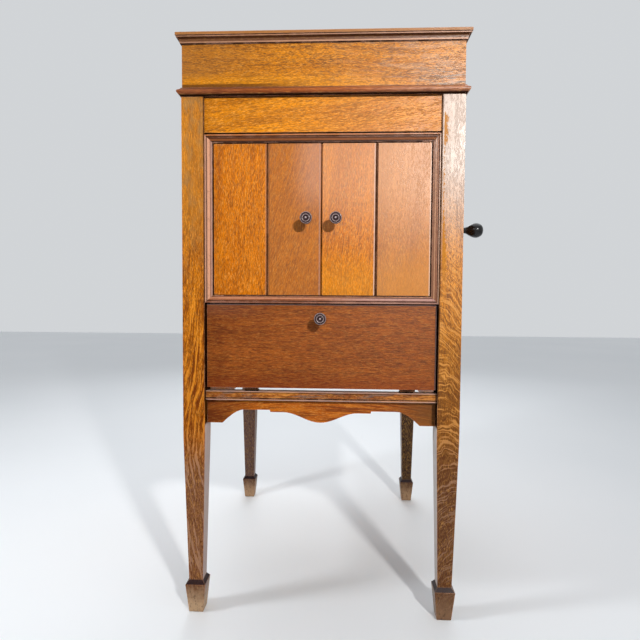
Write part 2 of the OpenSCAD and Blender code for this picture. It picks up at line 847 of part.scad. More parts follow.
module flap_board() {
    color(OAK_FLAP) difference() {
        span([-flap_x, door_front, flap_z], [flap_x, door_back, flap_top]);
        at_flap_knob() translate([0, 0, -spigot_l]) cylinder(r = spigot_r + run_fit, h = spigot_l + cut);
    }
}

module flap_knob() { color(OAK_DARK) at_flap_knob() knob(); }

// ---------- Horn ----------

module horn_front_frame() {
    color(OAK_DARK) difference() {
        span([-leg_in_x, stop_y, shelf_top], [leg_in_x, horn_y0, horn_frame_top]);
        span([-mouth_w / 2, stop_y - cut, mouth_z], [mouth_w / 2, horn_y0 + cut, mouth_top]);
    }
}

// Corner of the horn's mouth or throat, e outwards from its inside: sx and sz pick the corner
function mouth_corner(sx, sz, e) =
    [sx * (mouth_w / 2 + e), horn_y0, (sz > 0 ? mouth_top : mouth_z) + sz * e];
function throat_corner(sx, sz, e) =
    [arm_xy[0] + sx * (throat / 2 + e), horn_y1, throat_z + sz * (throat / 2 + e)];

// The point p moved a joint's gap towards q
function eased(p, q) = p + joint_gap * (q - p) / norm(q - p);

// The board between two neighbouring corners of the horn, mitred along its long edges
module horn_board(a, b) {
    t = horn_board_t;
    m = [for (e = [0, t]) [mouth_corner(a[0], a[1], e), mouth_corner(b[0], b[1], e)]];
    n = [for (e = [0, t]) [throat_corner(a[0], a[1], e), throat_corner(b[0], b[1], e)]];
    block([eased(m[0][0], m[0][1]), eased(m[0][1], m[0][0]), eased(m[1][1], m[1][0]),
            eased(m[1][0], m[1][1])],
        [eased(n[0][0], n[0][1]), eased(n[0][1], n[0][0]), eased(n[1][1], n[1][0]),
            eased(n[1][0], n[1][1])]);
}

module horn_boards() {
    corners = [[-1, -1], [1, -1], [1, 1], [-1, 1]];
    color(OAK) for (i = [0:3]) horn_board(corners[i], corners[(i + 1) % 4]);
}

// A ring section of outer radius r and inner radius q
module ring(r, q) difference() {
    circle(r = r);
    circle(r = q);
}

module horn_elbow() {
    q = elbow_r - elbow_wall;
    side = throat / 2 + horn_board_t;
    bend_y = arm_xy[1] - elbow_bend;
    bend_z = throat_z + elbow_bend;
    color(IRON) {
        translate([arm_xy[0], horn_y1 + flange_t, throat_z]) rotate([90, 0, 0])
            linear_extrude(height = flange_t) difference() {
                square(2 * side, center = true);
                circle(r = q);
            }
        translate([arm_xy[0], bend_y, throat_z]) rotate([90, 0, 0])
            linear_extrude(height = bend_y - horn_y1 - flange_t) ring(elbow_r, q);
        translate([arm_xy[0], bend_y, bend_z]) rotate([90, 0, 90]) rotate([0, 0, -90])
            rotate_extrude(angle = 90) translate([elbow_bend, 0]) ring(elbow_r, q);
        translate([arm_xy[0], arm_xy[1], bend_z])
            linear_extrude(height = motor_board_z - flange_t - bend_z) ring(elbow_r, q);
        translate([arm_xy[0], arm_xy[1], motor_board_z - flange_t])
            linear_extrude(height = flange_t) ring(base_flange_r, q);
    }
}

// ---------- Lid ----------

module lid_top_panel() {
    color(OAK) span([-frieze_x, -frieze_y, lid_ceiling], [frieze_x, frieze_y, lid_top]);
}

module lid_frieze_boards() {
    ix = frieze_x - frieze_t;
    iy = frieze_y - frieze_t;
    color(OAK) difference() {
        for (s = [-1, 1]) {
            along_z(lid_z, lid_ceiling, [[-frieze_x + joint_gap, s * frieze_y],
                [frieze_x - joint_gap, s * frieze_y], [ix - joint_gap, s * iy],
                [-ix + joint_gap, s * iy]]);
            along_z(lid_z, lid_ceiling, [[s * frieze_x, -frieze_y], [s * frieze_x, frieze_y],
                [s * ix, iy], [s * ix, -iy]]);
        }
        for (s = [-1, 1]) translate([s * lid_hinge_x, 0, 0])
            span([-lid_hinge_l / 2, lid_pin_y - lid_leaf_w, lid_z - cut],
                [lid_hinge_l / 2, frieze_y + cut, lid_z + leaf_t]);
    }
}

// A moulding planted round the front and sides of the lid, mitred at the front corners.
// The outline is a list of [outward, up] points.
module lid_moulding(outline, z, out) {
    big = out + cut;
    z1 = z + max([for (p = outline) p[1]]);
    intersection() {
        along_x(-frieze_x - big, frieze_x + big, [for (p = outline) [-frieze_y - p[0], z + p[1]]]);
        along_z(z, z1, [[-frieze_x - big + joint_gap, -frieze_y - big],
            [frieze_x + big - joint_gap, -frieze_y - big], [frieze_x - joint_gap, -frieze_y],
            [-frieze_x + joint_gap, -frieze_y]]);
    }
    for (s = [-1, 1]) intersection() {
        along_y(-frieze_y - big, frieze_y, [for (p = outline) [s * (frieze_x + p[0]), z + p[1]]]);
        along_z(z, z1, [[s * frieze_x, -frieze_y], [s * (frieze_x + big), -frieze_y - big],
            [s * (frieze_x + big), frieze_y], [s * frieze_x, frieze_y]]);
    }
}

module crown_moulding() {
    o = crown_out;
    h = crown_h;
    groove_x = 1;
    fillet_x = 2.4;
    fillet_z = [1.2, 3.2];
    cove_x = [2.8, o - 2];
    lip_x = o - 1.2;
    lip_z = [h - 7.5, h - 5.7];
    quirk = 0.6;
    band_z = h - 4.9;
    ease = 0.8;
    step = 15;
    cove = [for (a = [0:step:90]) [cove_x[1] - (cove_x[1] - cove_x[0]) * cos(a),
        fillet_z[1] + (lip_z[0] - fillet_z[1]) * sin(a)]];
    color(OAK_DARK) lid_moulding(concat(
        [[0, 0], [groove_x, 0], [groove_x, fillet_z[0]], [fillet_x, fillet_z[0]],
         [fillet_x, fillet_z[1]]], cove,
        [[lip_x, lip_z[0]], [lip_x, lip_z[1]], [lip_x - quirk, lip_z[1]], [lip_x - quirk, band_z],
         [o, band_z], [o, h - ease], [o - ease, h], [0, h]]), lid_top - crown_h, crown_out);
}

module lid_base_moulding() {
    o = base_out;
    h = base_h;
    nose_r = 3.4;
    nose_z = h / 2;
    foot_w = 1.6;
    crease = [2.4, h - 1.6];
    color(OAK_DARK) lid_moulding(concat(
        [[0, 0], [foot_w, 0]],
        arc([o - nose_r, nose_z], nose_r, -60, 75, 9),
        [crease, [foot_w, h], [0, h]]), lid_z, base_out);
}

module lid_hinge_leaves() {
    color(BRASS) at_lid_hinges() hinge_half(lid_hinge_l, lid_knuckle_r, lid_leaf_w,
        lid_gap / 2, 1, false);
}

// A quadrant about the hinge line; its stud meets the motor board when the lid is fully open
module lid_stay() {
    stud_r = 4;
    bracket_z = lid_z + 12;
    bracket_h = 22;
    inner = frieze_x - frieze_t;
    color(BRASS) {
        translate([stay_x + stay_t, lid_pin_y, lid_pin_z]) rotate([90, 0, -90])
            rotate([0, 0, -stay_low_a]) rotate_extrude(angle = stay_low_a + stay_high_a, $fn = 128)
                translate([stay_r - stay_w / 2, 0]) square([stay_w, stay_t]);
        rod_x(stay_x - stay_stud_out, stay_x + stay_t + stay_stud_out,
            lid_pin_y - stay_r * cos(stay_low_a), lid_pin_z - stay_r * sin(stay_low_a), stud_r);
        span([stay_x + stay_t / 2, stay_slot_y - stay_w, bracket_z],
            [inner, stay_slot_y + stay_w, bracket_z + bracket_h]);
    }
}

// ---------- Turntable and motor ----------

// Angle of an involute at radius r from its base circle rb
function involute(rb, r) = let (a = acos(min(1, rb / r))) tan(a) * 180 / PI - a;

// Outline of a spur gear, thinned by the backlash, with a tooth centred on +X
function gear_outline(teeth, mod) =
    let (rp = teeth * mod / 2, rb = rp * cos(20),
        half = 90 / teeth - backlash / 2 / rp * 180 / PI + involute(rb, rp),
        radii = [rp - 1.2 * mod, rp - 0.4 * mod, rp + 0.1 * mod, rp + 0.5 * mod, rp + 0.8 * mod])
    [for (i = [0:teeth - 1]) let (c = i * 360 / teeth)
        each concat(
            [for (r = radii) let (a = c - half + involute(rb, r)) r * [cos(a), sin(a)]],
            [for (k = [len(radii) - 1:-1:0])
                let (r = radii[k], a = c + half - involute(rb, r)) r * [cos(a), sin(a)]])];

// A spur gear turned so that a tooth points along the angle given
module spur(teeth, mod, face, angle) rotate([0, 0, angle])
    linear_extrude(height = face) polygon(gear_outline(teeth, mod));

function heading(a, b) = atan2(b[1] - a[1], b[0] - a[0]);

// The intermediate arbor, in mesh with the barrel and with the spindle
inter_xy = let (v = spindle_xy - barrel_xy, d = norm(v), u = v / d,
    along = (d * d + d_great * d_great - d_inter * d_inter) / (2 * d),
    off = sqrt(d_great * d_great - along * along))
    barrel_xy + along * u + off * [u[1], -u[0]];

module turntable_platter() {
    rim_t = 2.5;
    skin = 2;
    chamfer = 1.2;
    color(NICKEL) translate([spindle_xy[0], spindle_xy[1], 0]) rotate_extrude($fn = 128)
        polygon([[spindle_r + run_fit, platter_rim_z], [hub_r, platter_rim_z],
            [hub_r, platter_top - skin], [platter_r - rim_t, platter_top - skin],
            [platter_r - rim_t, platter_rim_z], [platter_r, platter_rim_z],
            [platter_r, platter_top - chamfer], [platter_r - chamfer, platter_top],
            [spindle_r + run_fit, platter_top]]);
}

module turntable_mat() {
    margin = 3;
    color(FELT) translate([spindle_xy[0], spindle_xy[1], platter_top])
        linear_extrude(height = mat_t) ring(platter_r - margin, spindle_r + run_fit);
}

module turntable_spindle() {
    tip = 1;
    collar_r = 6;
    color(NICKEL) translate([spindle_xy[0], spindle_xy[1], 0]) {
        translate([0, 0, bottom_plate_z]) cylinder(r = spindle_r, h = mat_top - bottom_plate_z);
        translate([0, 0, mat_top]) cylinder(r = record_pin_r, h = record_pin_h - tip);
        translate([0, 0, mat_top + record_pin_h - tip])
            cylinder(r1 = record_pin_r, r2 = record_pin_r - tip, h = tip);
        translate([0, 0, motor_board_top + 1])
            cylinder(r = collar_r, h = platter_rim_z - motor_board_top - 1);
        translate([0, 0, inter_wheel_z - gear_extra])
            spur(spindle_teeth, inter_mod, gear_face + 2 * gear_extra,
                heading(spindle_xy, inter_xy) + 180 / spindle_teeth);
        translate([0, 0, governor_z - governor_wheel_t / 2])
            spur(round(governor_wheel_r * 2) - 2, 1, governor_wheel_t, 0);
    }
}

module intermediate_wheel() {
    color(BRASS) translate([inter_xy[0], inter_xy[1], 0]) {
        translate([0, 0, bottom_plate_z])
            cylinder(r = arbor_r, h = top_plate_z + motor_plate_t - bottom_plate_z);
        translate([0, 0, inter_wheel_z])
            spur(inter_teeth, inter_mod, gear_face, heading(inter_xy, spindle_xy));
        translate([0, 0, great_z - gear_extra])
            spur(inter_pinion_teeth, great_mod, gear_face + 2 * gear_extra,
                heading(inter_xy, barrel_xy) + 180 / inter_pinion_teeth);
    }
}

// The barrel is a drum with the great wheel as its floor; it turns on the winding arbor
module spring_barrel() {
    wall = 2;
    color(BRASS) translate([barrel_xy[0], barrel_xy[1], 0]) difference() {
        union() {
            translate([0, 0, great_z])
                spur(great_teeth, great_mod, gear_face, heading(barrel_xy, inter_xy));
            translate([0, 0, great_z]) cylinder(r = barrel_r, h = barrel_top - great_z);
        }
        translate([0, 0, great_z + gear_face])
            cylinder(r = barrel_r - wall, h = barrel_top - wall - great_z - gear_face);
        translate([0, 0, great_z - cut])
            cylinder(r = crank_shaft_r + run_fit, h = barrel_top - great_z + 2 * cut);
    }
}

module mainspring() {
    turns = 5;
    strip = 0.8;
    steps = 24 * turns;
    margin = 3;
    pitch = 5;
    headroom = 3;
    floor_z = great_z + gear_face;
    // Inner radius of the coil after a turn of t degrees from its outer end
    function coil_r(t) = barrel_r - margin - pitch * t / 360;
    inner = [for (i = [0:steps]) let (t = 360 * turns * i / steps) coil_r(t) * [cos(t), sin(t)]];
    outer = [for (i = [steps:-1:0]) let (t = 360 * turns * i / steps)
        (coil_r(t) + strip) * [cos(t), sin(t)]];
    color(IRON) translate([barrel_xy[0], barrel_xy[1], floor_z])
        linear_extrude(height = barrel_top - floor_z - headroom) polygon(concat(inner, outer));
}

module winding_arbor() {
    wheel_teeth = 28;
    mesh_gap = 0.8;
    tooth_tip = 0.6;
    wheel_mod = (worm_wheel_r - mesh_gap) * 2 / (wheel_teeth + tooth_tip);
    wheel_t = 8;
    color(IRON) translate([barrel_xy[0], barrel_xy[1], 0]) {
        translate([0, 0, bottom_plate_z])
            cylinder(r = crank_shaft_r, h = top_plate_z + motor_plate_t - bottom_plate_z);
        translate([0, 0, shaft_z - wheel_t / 2]) spur(wheel_teeth, wheel_mod, wheel_t, 0);
    }
}

// A worm drawn as a grooved cylinder along X
module worm(x0, x1, y, z, r) {
    pitch = 3;
    depth = 1.2;
    crest = [0.35, 0.65];
    n = floor((x1 - x0) / pitch);
    translate([x0, y, z]) rotate([0, 90, 0]) rotate_extrude() polygon(concat([[0, 0]],
        [for (i = [0:n - 1]) each [[r - depth, i * pitch], [r, (i + crest[0]) * pitch],
            [r, (i + crest[1]) * pitch], [r - depth, (i + 1) * pitch]]], [[0, n * pitch]]));
}

module winding_shaft() {
    half_worm = 13.5;
    color(IRON) {
        rod_x(barrel_xy[0] + hanger_x[0], arm_x0 + crank_arm_t + crank_boss_l, 0, shaft_z,
            crank_shaft_r);
        worm(barrel_xy[0] - half_worm, barrel_xy[0] + half_worm, 0, shaft_z, worm_r);
    }
}

module governor() {
    collar_r = 6;
    collar_t = 5;
    ball_r = 5;
    ball_orbit = 14;
    ball_turn = [40, 25, 0];
    ball_shift = 3;
    disc_r = 14;
    disc_t = 2;
    end_room = 8;
    worm_lap = 0.5;
    half_worm = 9;
    spring_t = 0.8;
    spring_w = 5;
    root = 1;
    collar_x = [governor_x0 + end_room, spindle_xy[0] - governor_wheel_r + worm_lap];
    ball_x = (collar_x[0] + ball_shift + collar_x[1]) / 2;
    run = (collar_x[1] - collar_x[0]) / 2;
    slope = atan((ball_orbit - collar_r + root) / run);
    spring_l = run / cos(slope);
    color(BRASS) {
        rod_x(governor_x0, governor_x1, governor_y, governor_z, governor_shaft_r);
        worm(spindle_xy[0] - half_worm, spindle_xy[0] + half_worm, governor_y, governor_z,
            governor_worm_r);
        rod_x(collar_x[0] - disc_t, collar_x[0], governor_y, governor_z, disc_r);
        for (x = collar_x) rod_x(x, x + collar_t, governor_y, governor_z, collar_r);
        for (k = [0:2]) translate([ball_x, governor_y, governor_z]) rotate([120 * k, 0, 0]) {
            translate([0, 0, ball_orbit]) rotate(ball_turn) sphere(r = ball_r);
            for (s = [-1, 1]) translate([0, 0, ball_orbit]) rotate([0, s * slope, 0])
                translate([s > 0 ? root : -spring_l, -spring_w / 2, -spring_t / 2])
                    cube([spring_l - root, spring_w, spring_t]);
        }
    }
}

// Outline shared by the two plates
module plate_outline(margin) {
    translate([pillar_x[0] - margin, pillar_y[0] - margin])
        square([pillar_x[1] - pillar_x[0] + 2 * margin, pillar_y[1] - pillar_y[0] + 2 * margin]);
}

module motor_plates() {
    margin = 9;
    hanger_w = 16;
    hanger_z = shaft_z - hanger_w / 2;
    governor_hanger_w = 11;
    governor_hanger_drop = 7;
    color(BRASS) {
        for (z = [bottom_plate_z, top_plate_z]) translate([0, 0, z])
            linear_extrude(height = motor_plate_t) difference() {
                plate_outline(margin);
                translate(spindle_xy) circle(r = spindle_r + run_fit);
                translate(barrel_xy) circle(r = crank_shaft_r + run_fit);
                translate(inter_xy) circle(r = arbor_r + run_fit);
                for (x = pillar_x, y = pillar_y) translate([x, y]) circle(r = pillar_r + run_fit);
            }
        for (dx = hanger_x) let (x = barrel_xy[0] + dx) difference() {
            span([x, -hanger_w / 2, hanger_z], [x + hanger_t, hanger_w / 2, top_plate_z]);
            rod_x(x - cut, x + hanger_t + cut, 0, shaft_z, crank_shaft_r + run_fit);
        }
        for (x = [governor_x0, governor_x1 - hanger_t]) difference() {
            span([x, governor_y - governor_hanger_w / 2, governor_z - governor_hanger_drop],
                [x + hanger_t, governor_y + governor_hanger_w / 2, top_plate_z]);
            rod_x(x - cut, x + hanger_t + cut, governor_y, governor_z, governor_shaft_r + run_fit);
        }
    }
}

// Long bolts through the motor board, with a shoulder between the two plates
module motor_pillars() {
    shoulder_r = 6;
    head_r = 5.5;
    head_h = 3;
    foot_h = 4;
    color(NICKEL) for (x = pillar_x, y = pillar_y) translate([x, y, 0]) {
        translate([0, 0, bottom_plate_z - foot_h]) cylinder(r = head_r, h = foot_h);
        translate([0, 0, bottom_plate_z])
            cylinder(r = pillar_r, h = top_plate_z + motor_plate_t - bottom_plate_z);
        translate([0, 0, bottom_plate_z + motor_plate_t])
            cylinder(r = shoulder_r, h = top_plate_z - bottom_plate_z - motor_plate_t);
        translate([0, 0, top_plate_z + motor_plate_t])
            cylinder(r = shoulder_r, h = motor_board_z - top_plate_z - motor_plate_t);
        translate([0, 0, motor_board_z]) cylinder(r = pillar_bolt_r, h = motor_board_t);
        translate([0, 0, motor_board_top]) cylinder(r = head_r, h = head_h);
    }
}

// ---------- Crank ----------

module crank_escutcheon() {
    bush_l = 4;
    bush_x = panel_x0 - bush_l;
    color(NICKEL) difference() {
        union() {
            rod_x(bush_x, panel_x1, 0, shaft_z, bush_r);
            rod_x(panel_x1, panel_x1 + escutcheon_t, 0, shaft_z, escutcheon_r);
        }
        rod_x(bush_x - cut, panel_x1 + escutcheon_t + cut, 0, shaft_z, crank_shaft_r + run_fit);
    }
}

module crank_arm() {
    boss_r = 9;
    eye_r = 7;
    collar_r = 6;
    boss_x = [arm_x0 - crank_boss_l, arm_x0 + crank_arm_t + crank_boss_l];
    color(NICKEL) difference() {
        union() {
            rod_x(boss_x[0], boss_x[1], 0, shaft_z, boss_r);
            span([arm_x0, -crank_arm_w / 2, grip_z],
                [arm_x0 + crank_arm_t, crank_arm_w / 2, shaft_z]);
            rod_x(arm_x0, arm_x0 + crank_arm_t, 0, grip_z, eye_r);
            rod_x(arm_x0, grip_x0 - knuckle_gap, 0, grip_z, collar_r);
            rod_x(arm_x0, grip_x1 - grip_r, 0, grip_z, grip_pin_r);
        }
        rod_x(boss_x[0] - cut, boss_x[1] + cut, 0, shaft_z, crank_shaft_r + run_fit);
    }
}

// A pear-shaped grip that turns on its pin
module crank_grip() {
    neck = 0.37;
    neck_end = 0.4;
    butt = 0.08;
    butt_end = 0.2;
    ball = 1 - grip_r / grip_l;
    step = ball / 26;
    // Radius at a share t of the length: a slim neck that swells into the ball
    function grip_radius(t) = let (swell = max((t - neck_end) / (ball - neck_end), 0),
        flare = max(1 - t / butt_end, 0))
        grip_r * (neck + (1 - neck) * swell * swell * (3 - 2 * swell) + butt * flare * flare);
    color(EBONY) difference() {
        translate([grip_x0, 0, grip_z]) rotate([0, 90, 0]) rotate_extrude() polygon(concat(
            [[0, 0]], [for (i = [0:25]) [grip_radius(i * step), i * step * grip_l]],
            arc([0, ball * grip_l], grip_r, 0, 90, 10)));
        rod_x(grip_x0 - cut, grip_x1 - grip_r + pass_gap, 0, grip_z, grip_pin_r + run_fit);
    }
}

// ---------- Tone arm ----------

module in_arm() translate([arm_xy[0], arm_xy[1], 0]) rotate([0, 0, arm_park]) children();

module tonearm_base() {
    color(NICKEL) translate([arm_xy[0], arm_xy[1], motor_board_top]) {
        linear_extrude(height = base_flange_t) ring(base_flange_r, base_r - elbow_wall);
        linear_extrude(height = base_top - motor_board_top) ring(base_r, base_r - elbow_wall);
    }
}

module tonearm_tube() {
    lift = 3;
    shell_t = 2;
    cap_t = 3;
    socket_z = motor_board_top + base_flange_t + lift;
    shell = base_r + run_fit + shell_t;
    cap_z = base_top + knuckle_gap;
    bend_z = arm_z - arm_bend;
    q0 = arm_r0 - arm_wall;
    q1 = arm_r1 - arm_wall;
    tube_end = arm_l - end_bend;
    color(NICKEL) in_arm() {
        translate([0, 0, socket_z]) linear_extrude(height = cap_z - socket_z)
            ring(shell, base_r + run_fit);
        translate([0, 0, cap_z]) linear_extrude(height = cap_t) ring(shell, q0);
        translate([0, 0, cap_z + cap_t]) linear_extrude(height = bend_z - cap_z - cap_t)
            ring(arm_r0, q0);
        translate([0, -arm_bend, bend_z]) rotate([90, 0, 90]) rotate_extrude(angle = 90)
            translate([arm_bend, 0]) ring(arm_r0, q0);
        translate([0, -arm_bend, arm_z]) rotate([90, 0, 0]) difference() {
            cylinder(r1 = arm_r0, r2 = arm_r1, h = tube_end - arm_bend);
            cylinder(r1 = q0, r2 = q1, h = tube_end - arm_bend);
        }
        translate([end_bend, -tube_end, arm_z]) rotate([0, 0, 180]) rotate_extrude(angle = 90)
            translate([end_bend, 0]) ring(arm_r1, q1);
        translate([end_bend, -arm_l, arm_z]) rotate([0, 90, 0])
            linear_extrude(height = socket_l) ring(arm_r1, q1);
    }
}

module soundbox() {
    back = end_bend + socket_l + knuckle_gap;
    front = back + soundbox_t;
    inner = arm_r1 + run_fit;
    boss = inner + 3;
    boss_x = end_bend + 1;
    seat = inner - 1.5;
    ease = 1;
    back_t = 2;
    bore = soundbox_r - soundbox_rim;
    mouth = bore - 2;
    mouth_t = 1.5;
    color(NICKEL) in_arm() translate([0, -arm_l, arm_z]) rotate([0, 90, 0]) rotate_extrude()
        polygon([[inner, boss_x], [boss, boss_x], [boss, back],
            [soundbox_r - ease, back], [soundbox_r, back + ease], [soundbox_r, front - ease],
            [soundbox_r - ease, front], [mouth, front],
            [mouth, front - mouth_t], [bore, front - mouth_t],
            [bore, back + back_t], [seat, back + back_t], [seat, back],
            [inner, back]]);
}

module diaphragm() {
    front = end_bend + socket_l + knuckle_gap + soundbox_t;
    inset = 1.5;
    sheet_t = 1;
    color(MICA) in_arm() translate([0, -arm_l, arm_z])
        rod_x(front - inset - sheet_t, front - inset, 0, 0, soundbox_r - soundbox_rim);
}

// The stylus bar, its chuck and screw, and the needle, hanging from the rim
module needle_arm() {
    front = end_bend + socket_l + knuckle_gap + soundbox_t;
    tip = norm([needle_drop, needle_reach]);
    bar_x = front + 0.5;
    bar_t = 2.5;
    bar_w = 4;
    mid_x = bar_x + bar_t / 2;
    foot_r = 1.2;
    foot_in = 1.5;
    pivot_w = 6;
    pivot_z = [-soundbox_r + 1, -soundbox_r + 5];
    chuck_r = 3;
    chuck_z = soundbox_r + 7;
    screw_z = -chuck_z + 4;
    screw_r1 = 1.4;
    screw_head_r = 2.6;
    screw_head_x = [5, 8];
    point_r = 0.2;
    color(NICKEL) in_arm() translate([0, -arm_l, arm_z])
        rotate([-atan(needle_reach / needle_drop), 0, 0]) {
            rod_x(front - foot_in, mid_x, 0, 0, foot_r);
            span([bar_x, -bar_w / 2, -chuck_z], [bar_x + bar_t, bar_w / 2, bar_w / 2]);
            span([front, -pivot_w / 2, pivot_z[0]], [bar_x + fine, pivot_w / 2, pivot_z[1]]);
            translate([mid_x, 0, -chuck_z]) cylinder(r = chuck_r, h = chuck_z - soundbox_r - pass_gap);
            rod_x(mid_x, mid_x + screw_head_x[1] - 1, 0, screw_z, screw_r1);
            rod_x(mid_x + screw_head_x[0], mid_x + screw_head_x[1], 0, screw_z, screw_head_r);
            translate([mid_x, 0, -tip]) cylinder(r1 = point_r, r2 = needle_r, h = tip - chuck_z + 1);
        }
}

// ---------- Fittings on the motor board ----------

module needle_cups() {
    wall = 1;
    lip = 3;
    bowl = [cup_r - 5, cup_r - 1];
    turn_z = 3 - cup_depth;
    color(NICKEL) for (p = cup_xy) translate([p[0], p[1], motor_board_top]) rotate_extrude()
        polygon([[0, -cup_depth], [bowl[0], -cup_depth], [bowl[1], turn_z], [cup_r, 0],
            [cup_r + lip, 0], [cup_r + lip, wall], [cup_r - wall, wall],
            [bowl[1] - wall, turn_z + wall], [bowl[0] - wall, -cup_depth + wall],
            [0, -cup_depth + wall]]);
}

// The brake: its leather pad stands just off the platter's rim
module brake_lever() {
    pad_r = 4;
    pad_y = 24;
    pad_gap = 0.4;
    pad_from_axis = platter_r + pad_gap + pad_r;
    pad = [sqrt(pad_from_axis * pad_from_axis - pad_y * pad_y) - brake_dist, pad_y];
    handle = [24, -14];
    handle_r = 5;
    handle_h = 10;
    arm_w = 7;
    arm_t = 2.5;
    hub_r = 6;
    lift = 4;
    lap = 1;
    z0 = motor_board_top + lift;
    color(BRASS) translate([brake_xy[0], brake_xy[1], 0]) rotate([0, 0, brake_a]) {
        translate([0, 0, motor_board_z])
            cylinder(r = lever_pin_r, h = z0 + arm_t + 2 * lap - motor_board_z);
        translate([0, 0, motor_board_top + knuckle_gap])
            cylinder(r = hub_r - lap, h = z0 + lap - motor_board_top);
        translate([0, 0, z0]) linear_extrude(height = arm_t) {
            circle(r = hub_r);
            for (p = [pad, handle]) rotate([0, 0, atan2(p[1], p[0])])
                translate([0, -arm_w / 2]) square([norm(p), arm_w]);
        }
        translate([pad[0], pad[1], z0 - lap]) cylinder(r = pad_r, h = platter_top - z0 + lap);
        translate([handle[0], handle[1], z0 - lap]) cylinder(r = handle_r, h = handle_h);
    }
}

module speed_lever() {
    pointer = [6, 26];
    pointer_t = 2;
    plate_r = 10;
    plate_t = 1.5;
    knob_r = 8;
    knob_h = 10;
    z0 = motor_board_top + knuckle_gap;
    color(BRASS) translate([speed_xy[0], speed_xy[1], 0]) {
        translate([0, 0, motor_board_z])
            cylinder(r = lever_pin_r, h = z0 - motor_board_z + pointer_t);
        translate([0, 0, z0]) cylinder(r = plate_r, h = plate_t);
        span([-pointer[0] / 2, 0, z0], [pointer[0] / 2, pointer[1], z0 + pointer_t]);
        translate([0, 0, z0]) cylinder(r = knob_r, h = knob_h);
    }
}

// ---------- Assembly ----------

left_front_leg();
right_front_leg();
left_back_leg();
right_back_leg();
front_top_rail();
front_bottom_rail();
front_apron();
left_side_panel();
right_side_panel();
back_panel();
back_screws();
door_surround();
surround_brass();
record_floor();
middle_shelf();
bearers();
motor_board();
horn_front_frame();
horn_boards();
horn_elbow();
crank_escutcheon();
case_hinge_leaves();
needle_cups();
tonearm_base();
motor_plates();
motor_pillars();
lid_top_panel();
lid_frieze_boards();
crown_moulding();
lid_base_moulding();
lid_hinge_leaves();
lid_stay();
left_door_boards();
left_door_battens();
left_door_knob();
left_door_pivots();
right_door_boards();
right_door_battens();
right_door_knob();
right_door_pivots();
flap_board();
flap_knob();
flap_hinge_leaves();
winding_shaft();
crank_arm();
crank_grip();
winding_arbor();
turntable_platter();
turntable_mat();
turntable_spindle();
intermediate_wheel();
spring_barrel();
mainspring();
governor();
tonearm_tube();
soundbox();
diaphragm();
needle_arm();
brake_lever();
speed_lever();
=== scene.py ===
"""A gramophone cabinet on table legs: quarter-sawn oak, turned knobs, brass and nickel fittings."""

import math

import bmesh
import bpy
from mathutils import Matrix, Vector


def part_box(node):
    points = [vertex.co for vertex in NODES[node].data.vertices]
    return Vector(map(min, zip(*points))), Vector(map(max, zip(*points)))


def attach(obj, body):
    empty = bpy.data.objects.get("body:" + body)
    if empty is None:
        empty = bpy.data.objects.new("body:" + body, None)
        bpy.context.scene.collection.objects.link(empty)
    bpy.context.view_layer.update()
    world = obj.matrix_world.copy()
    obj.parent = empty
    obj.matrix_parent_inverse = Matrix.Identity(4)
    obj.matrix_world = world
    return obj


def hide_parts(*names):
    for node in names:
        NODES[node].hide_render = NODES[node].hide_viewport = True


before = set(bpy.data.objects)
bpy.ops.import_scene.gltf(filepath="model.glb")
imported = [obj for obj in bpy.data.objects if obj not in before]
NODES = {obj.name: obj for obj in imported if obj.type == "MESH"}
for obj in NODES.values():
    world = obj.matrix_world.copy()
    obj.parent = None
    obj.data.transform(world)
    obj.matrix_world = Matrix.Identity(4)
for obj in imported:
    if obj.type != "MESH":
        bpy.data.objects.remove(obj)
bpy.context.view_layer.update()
MM = 0.001

# Places that several materials share, taken from the frame
SURROUND_LOW, SURROUND_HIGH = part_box("door_surround")
RIGHT_DOOR_LOW, RIGHT_DOOR_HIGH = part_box("right_door_boards")
BOARD_SPLIT = (RIGHT_DOOR_LOW.x + RIGHT_DOOR_HIGH.x) / 2
LEG_LOW, LEG_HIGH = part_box("right_front_leg")
LEG_X = (LEG_LOW.x + LEG_HIGH.x) / 2
LID_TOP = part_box("crown_moulding")[1].z
LID_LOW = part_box("lid_base_moulding")[0].z
RAIL_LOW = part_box("front_bottom_rail")[0].z
RAIL_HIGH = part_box("front_bottom_rail")[1].z
APRON_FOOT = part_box("front_apron")[0].z
FLAP_LOW, FLAP_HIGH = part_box("flap_board")
# The quirk over the surround, a height between its top and its foot, and the shoulder of a spade foot
SURROUND_QUIRK = 2.5 * MM
SURROUND_MIDDLE = 0.7
SHOULDER_LOW, SHOULDER_HIGH = 0.0500, 0.0568

# The photograph's viewpoint, fitted to the cabinet's own edges; angles in radians
CAMERA_PLACE = (0.03545, -1.08466, 0.54436)
CAMERA_YAW, CAMERA_PITCH, CAMERA_ROLL = 0.04416, -0.04705, 0.00654
LENS_MM, SENSOR_MM = 28.0, 36.0
NEAREST_SEEN = 0.05

# Lamps: name, place, target, side, spread in degrees, power, colour
LAMPS = [
    ("key", (0.78, -1.83, 1.30), (0, -0.25, 0.72), 0.12, 80, 6.9, (1.0, 0.98, 0.95)),
    ("left", (-1.20, -0.60, 1.43), (0, 0, 0.3), 0.2, 180, 9, (0.95, 0.98, 1.0)),
    ("behind", (-0.2, 2.3, 1.9), (0, 0.35, 0), 1.4, 120, 9, (0.97, 0.985, 1.0)),
]
SKY_STRENGTH, SKY_COLOUR = 1.18, (0.97, 0.985, 1.0)
SKY_WIDTH, SKY_TILT = math.radians(80), math.radians(-14)
AMBIENT_STRENGTH, AMBIENT_COLOUR = 0.16, (0.93, 0.96, 1.0, 1)
BACKDROP_COLOUR = (0.64, 0.66, 0.68, 1)
FLOOR_HALF_SIDE, FLOOR_DROP = 6.0, 0.4 * MM

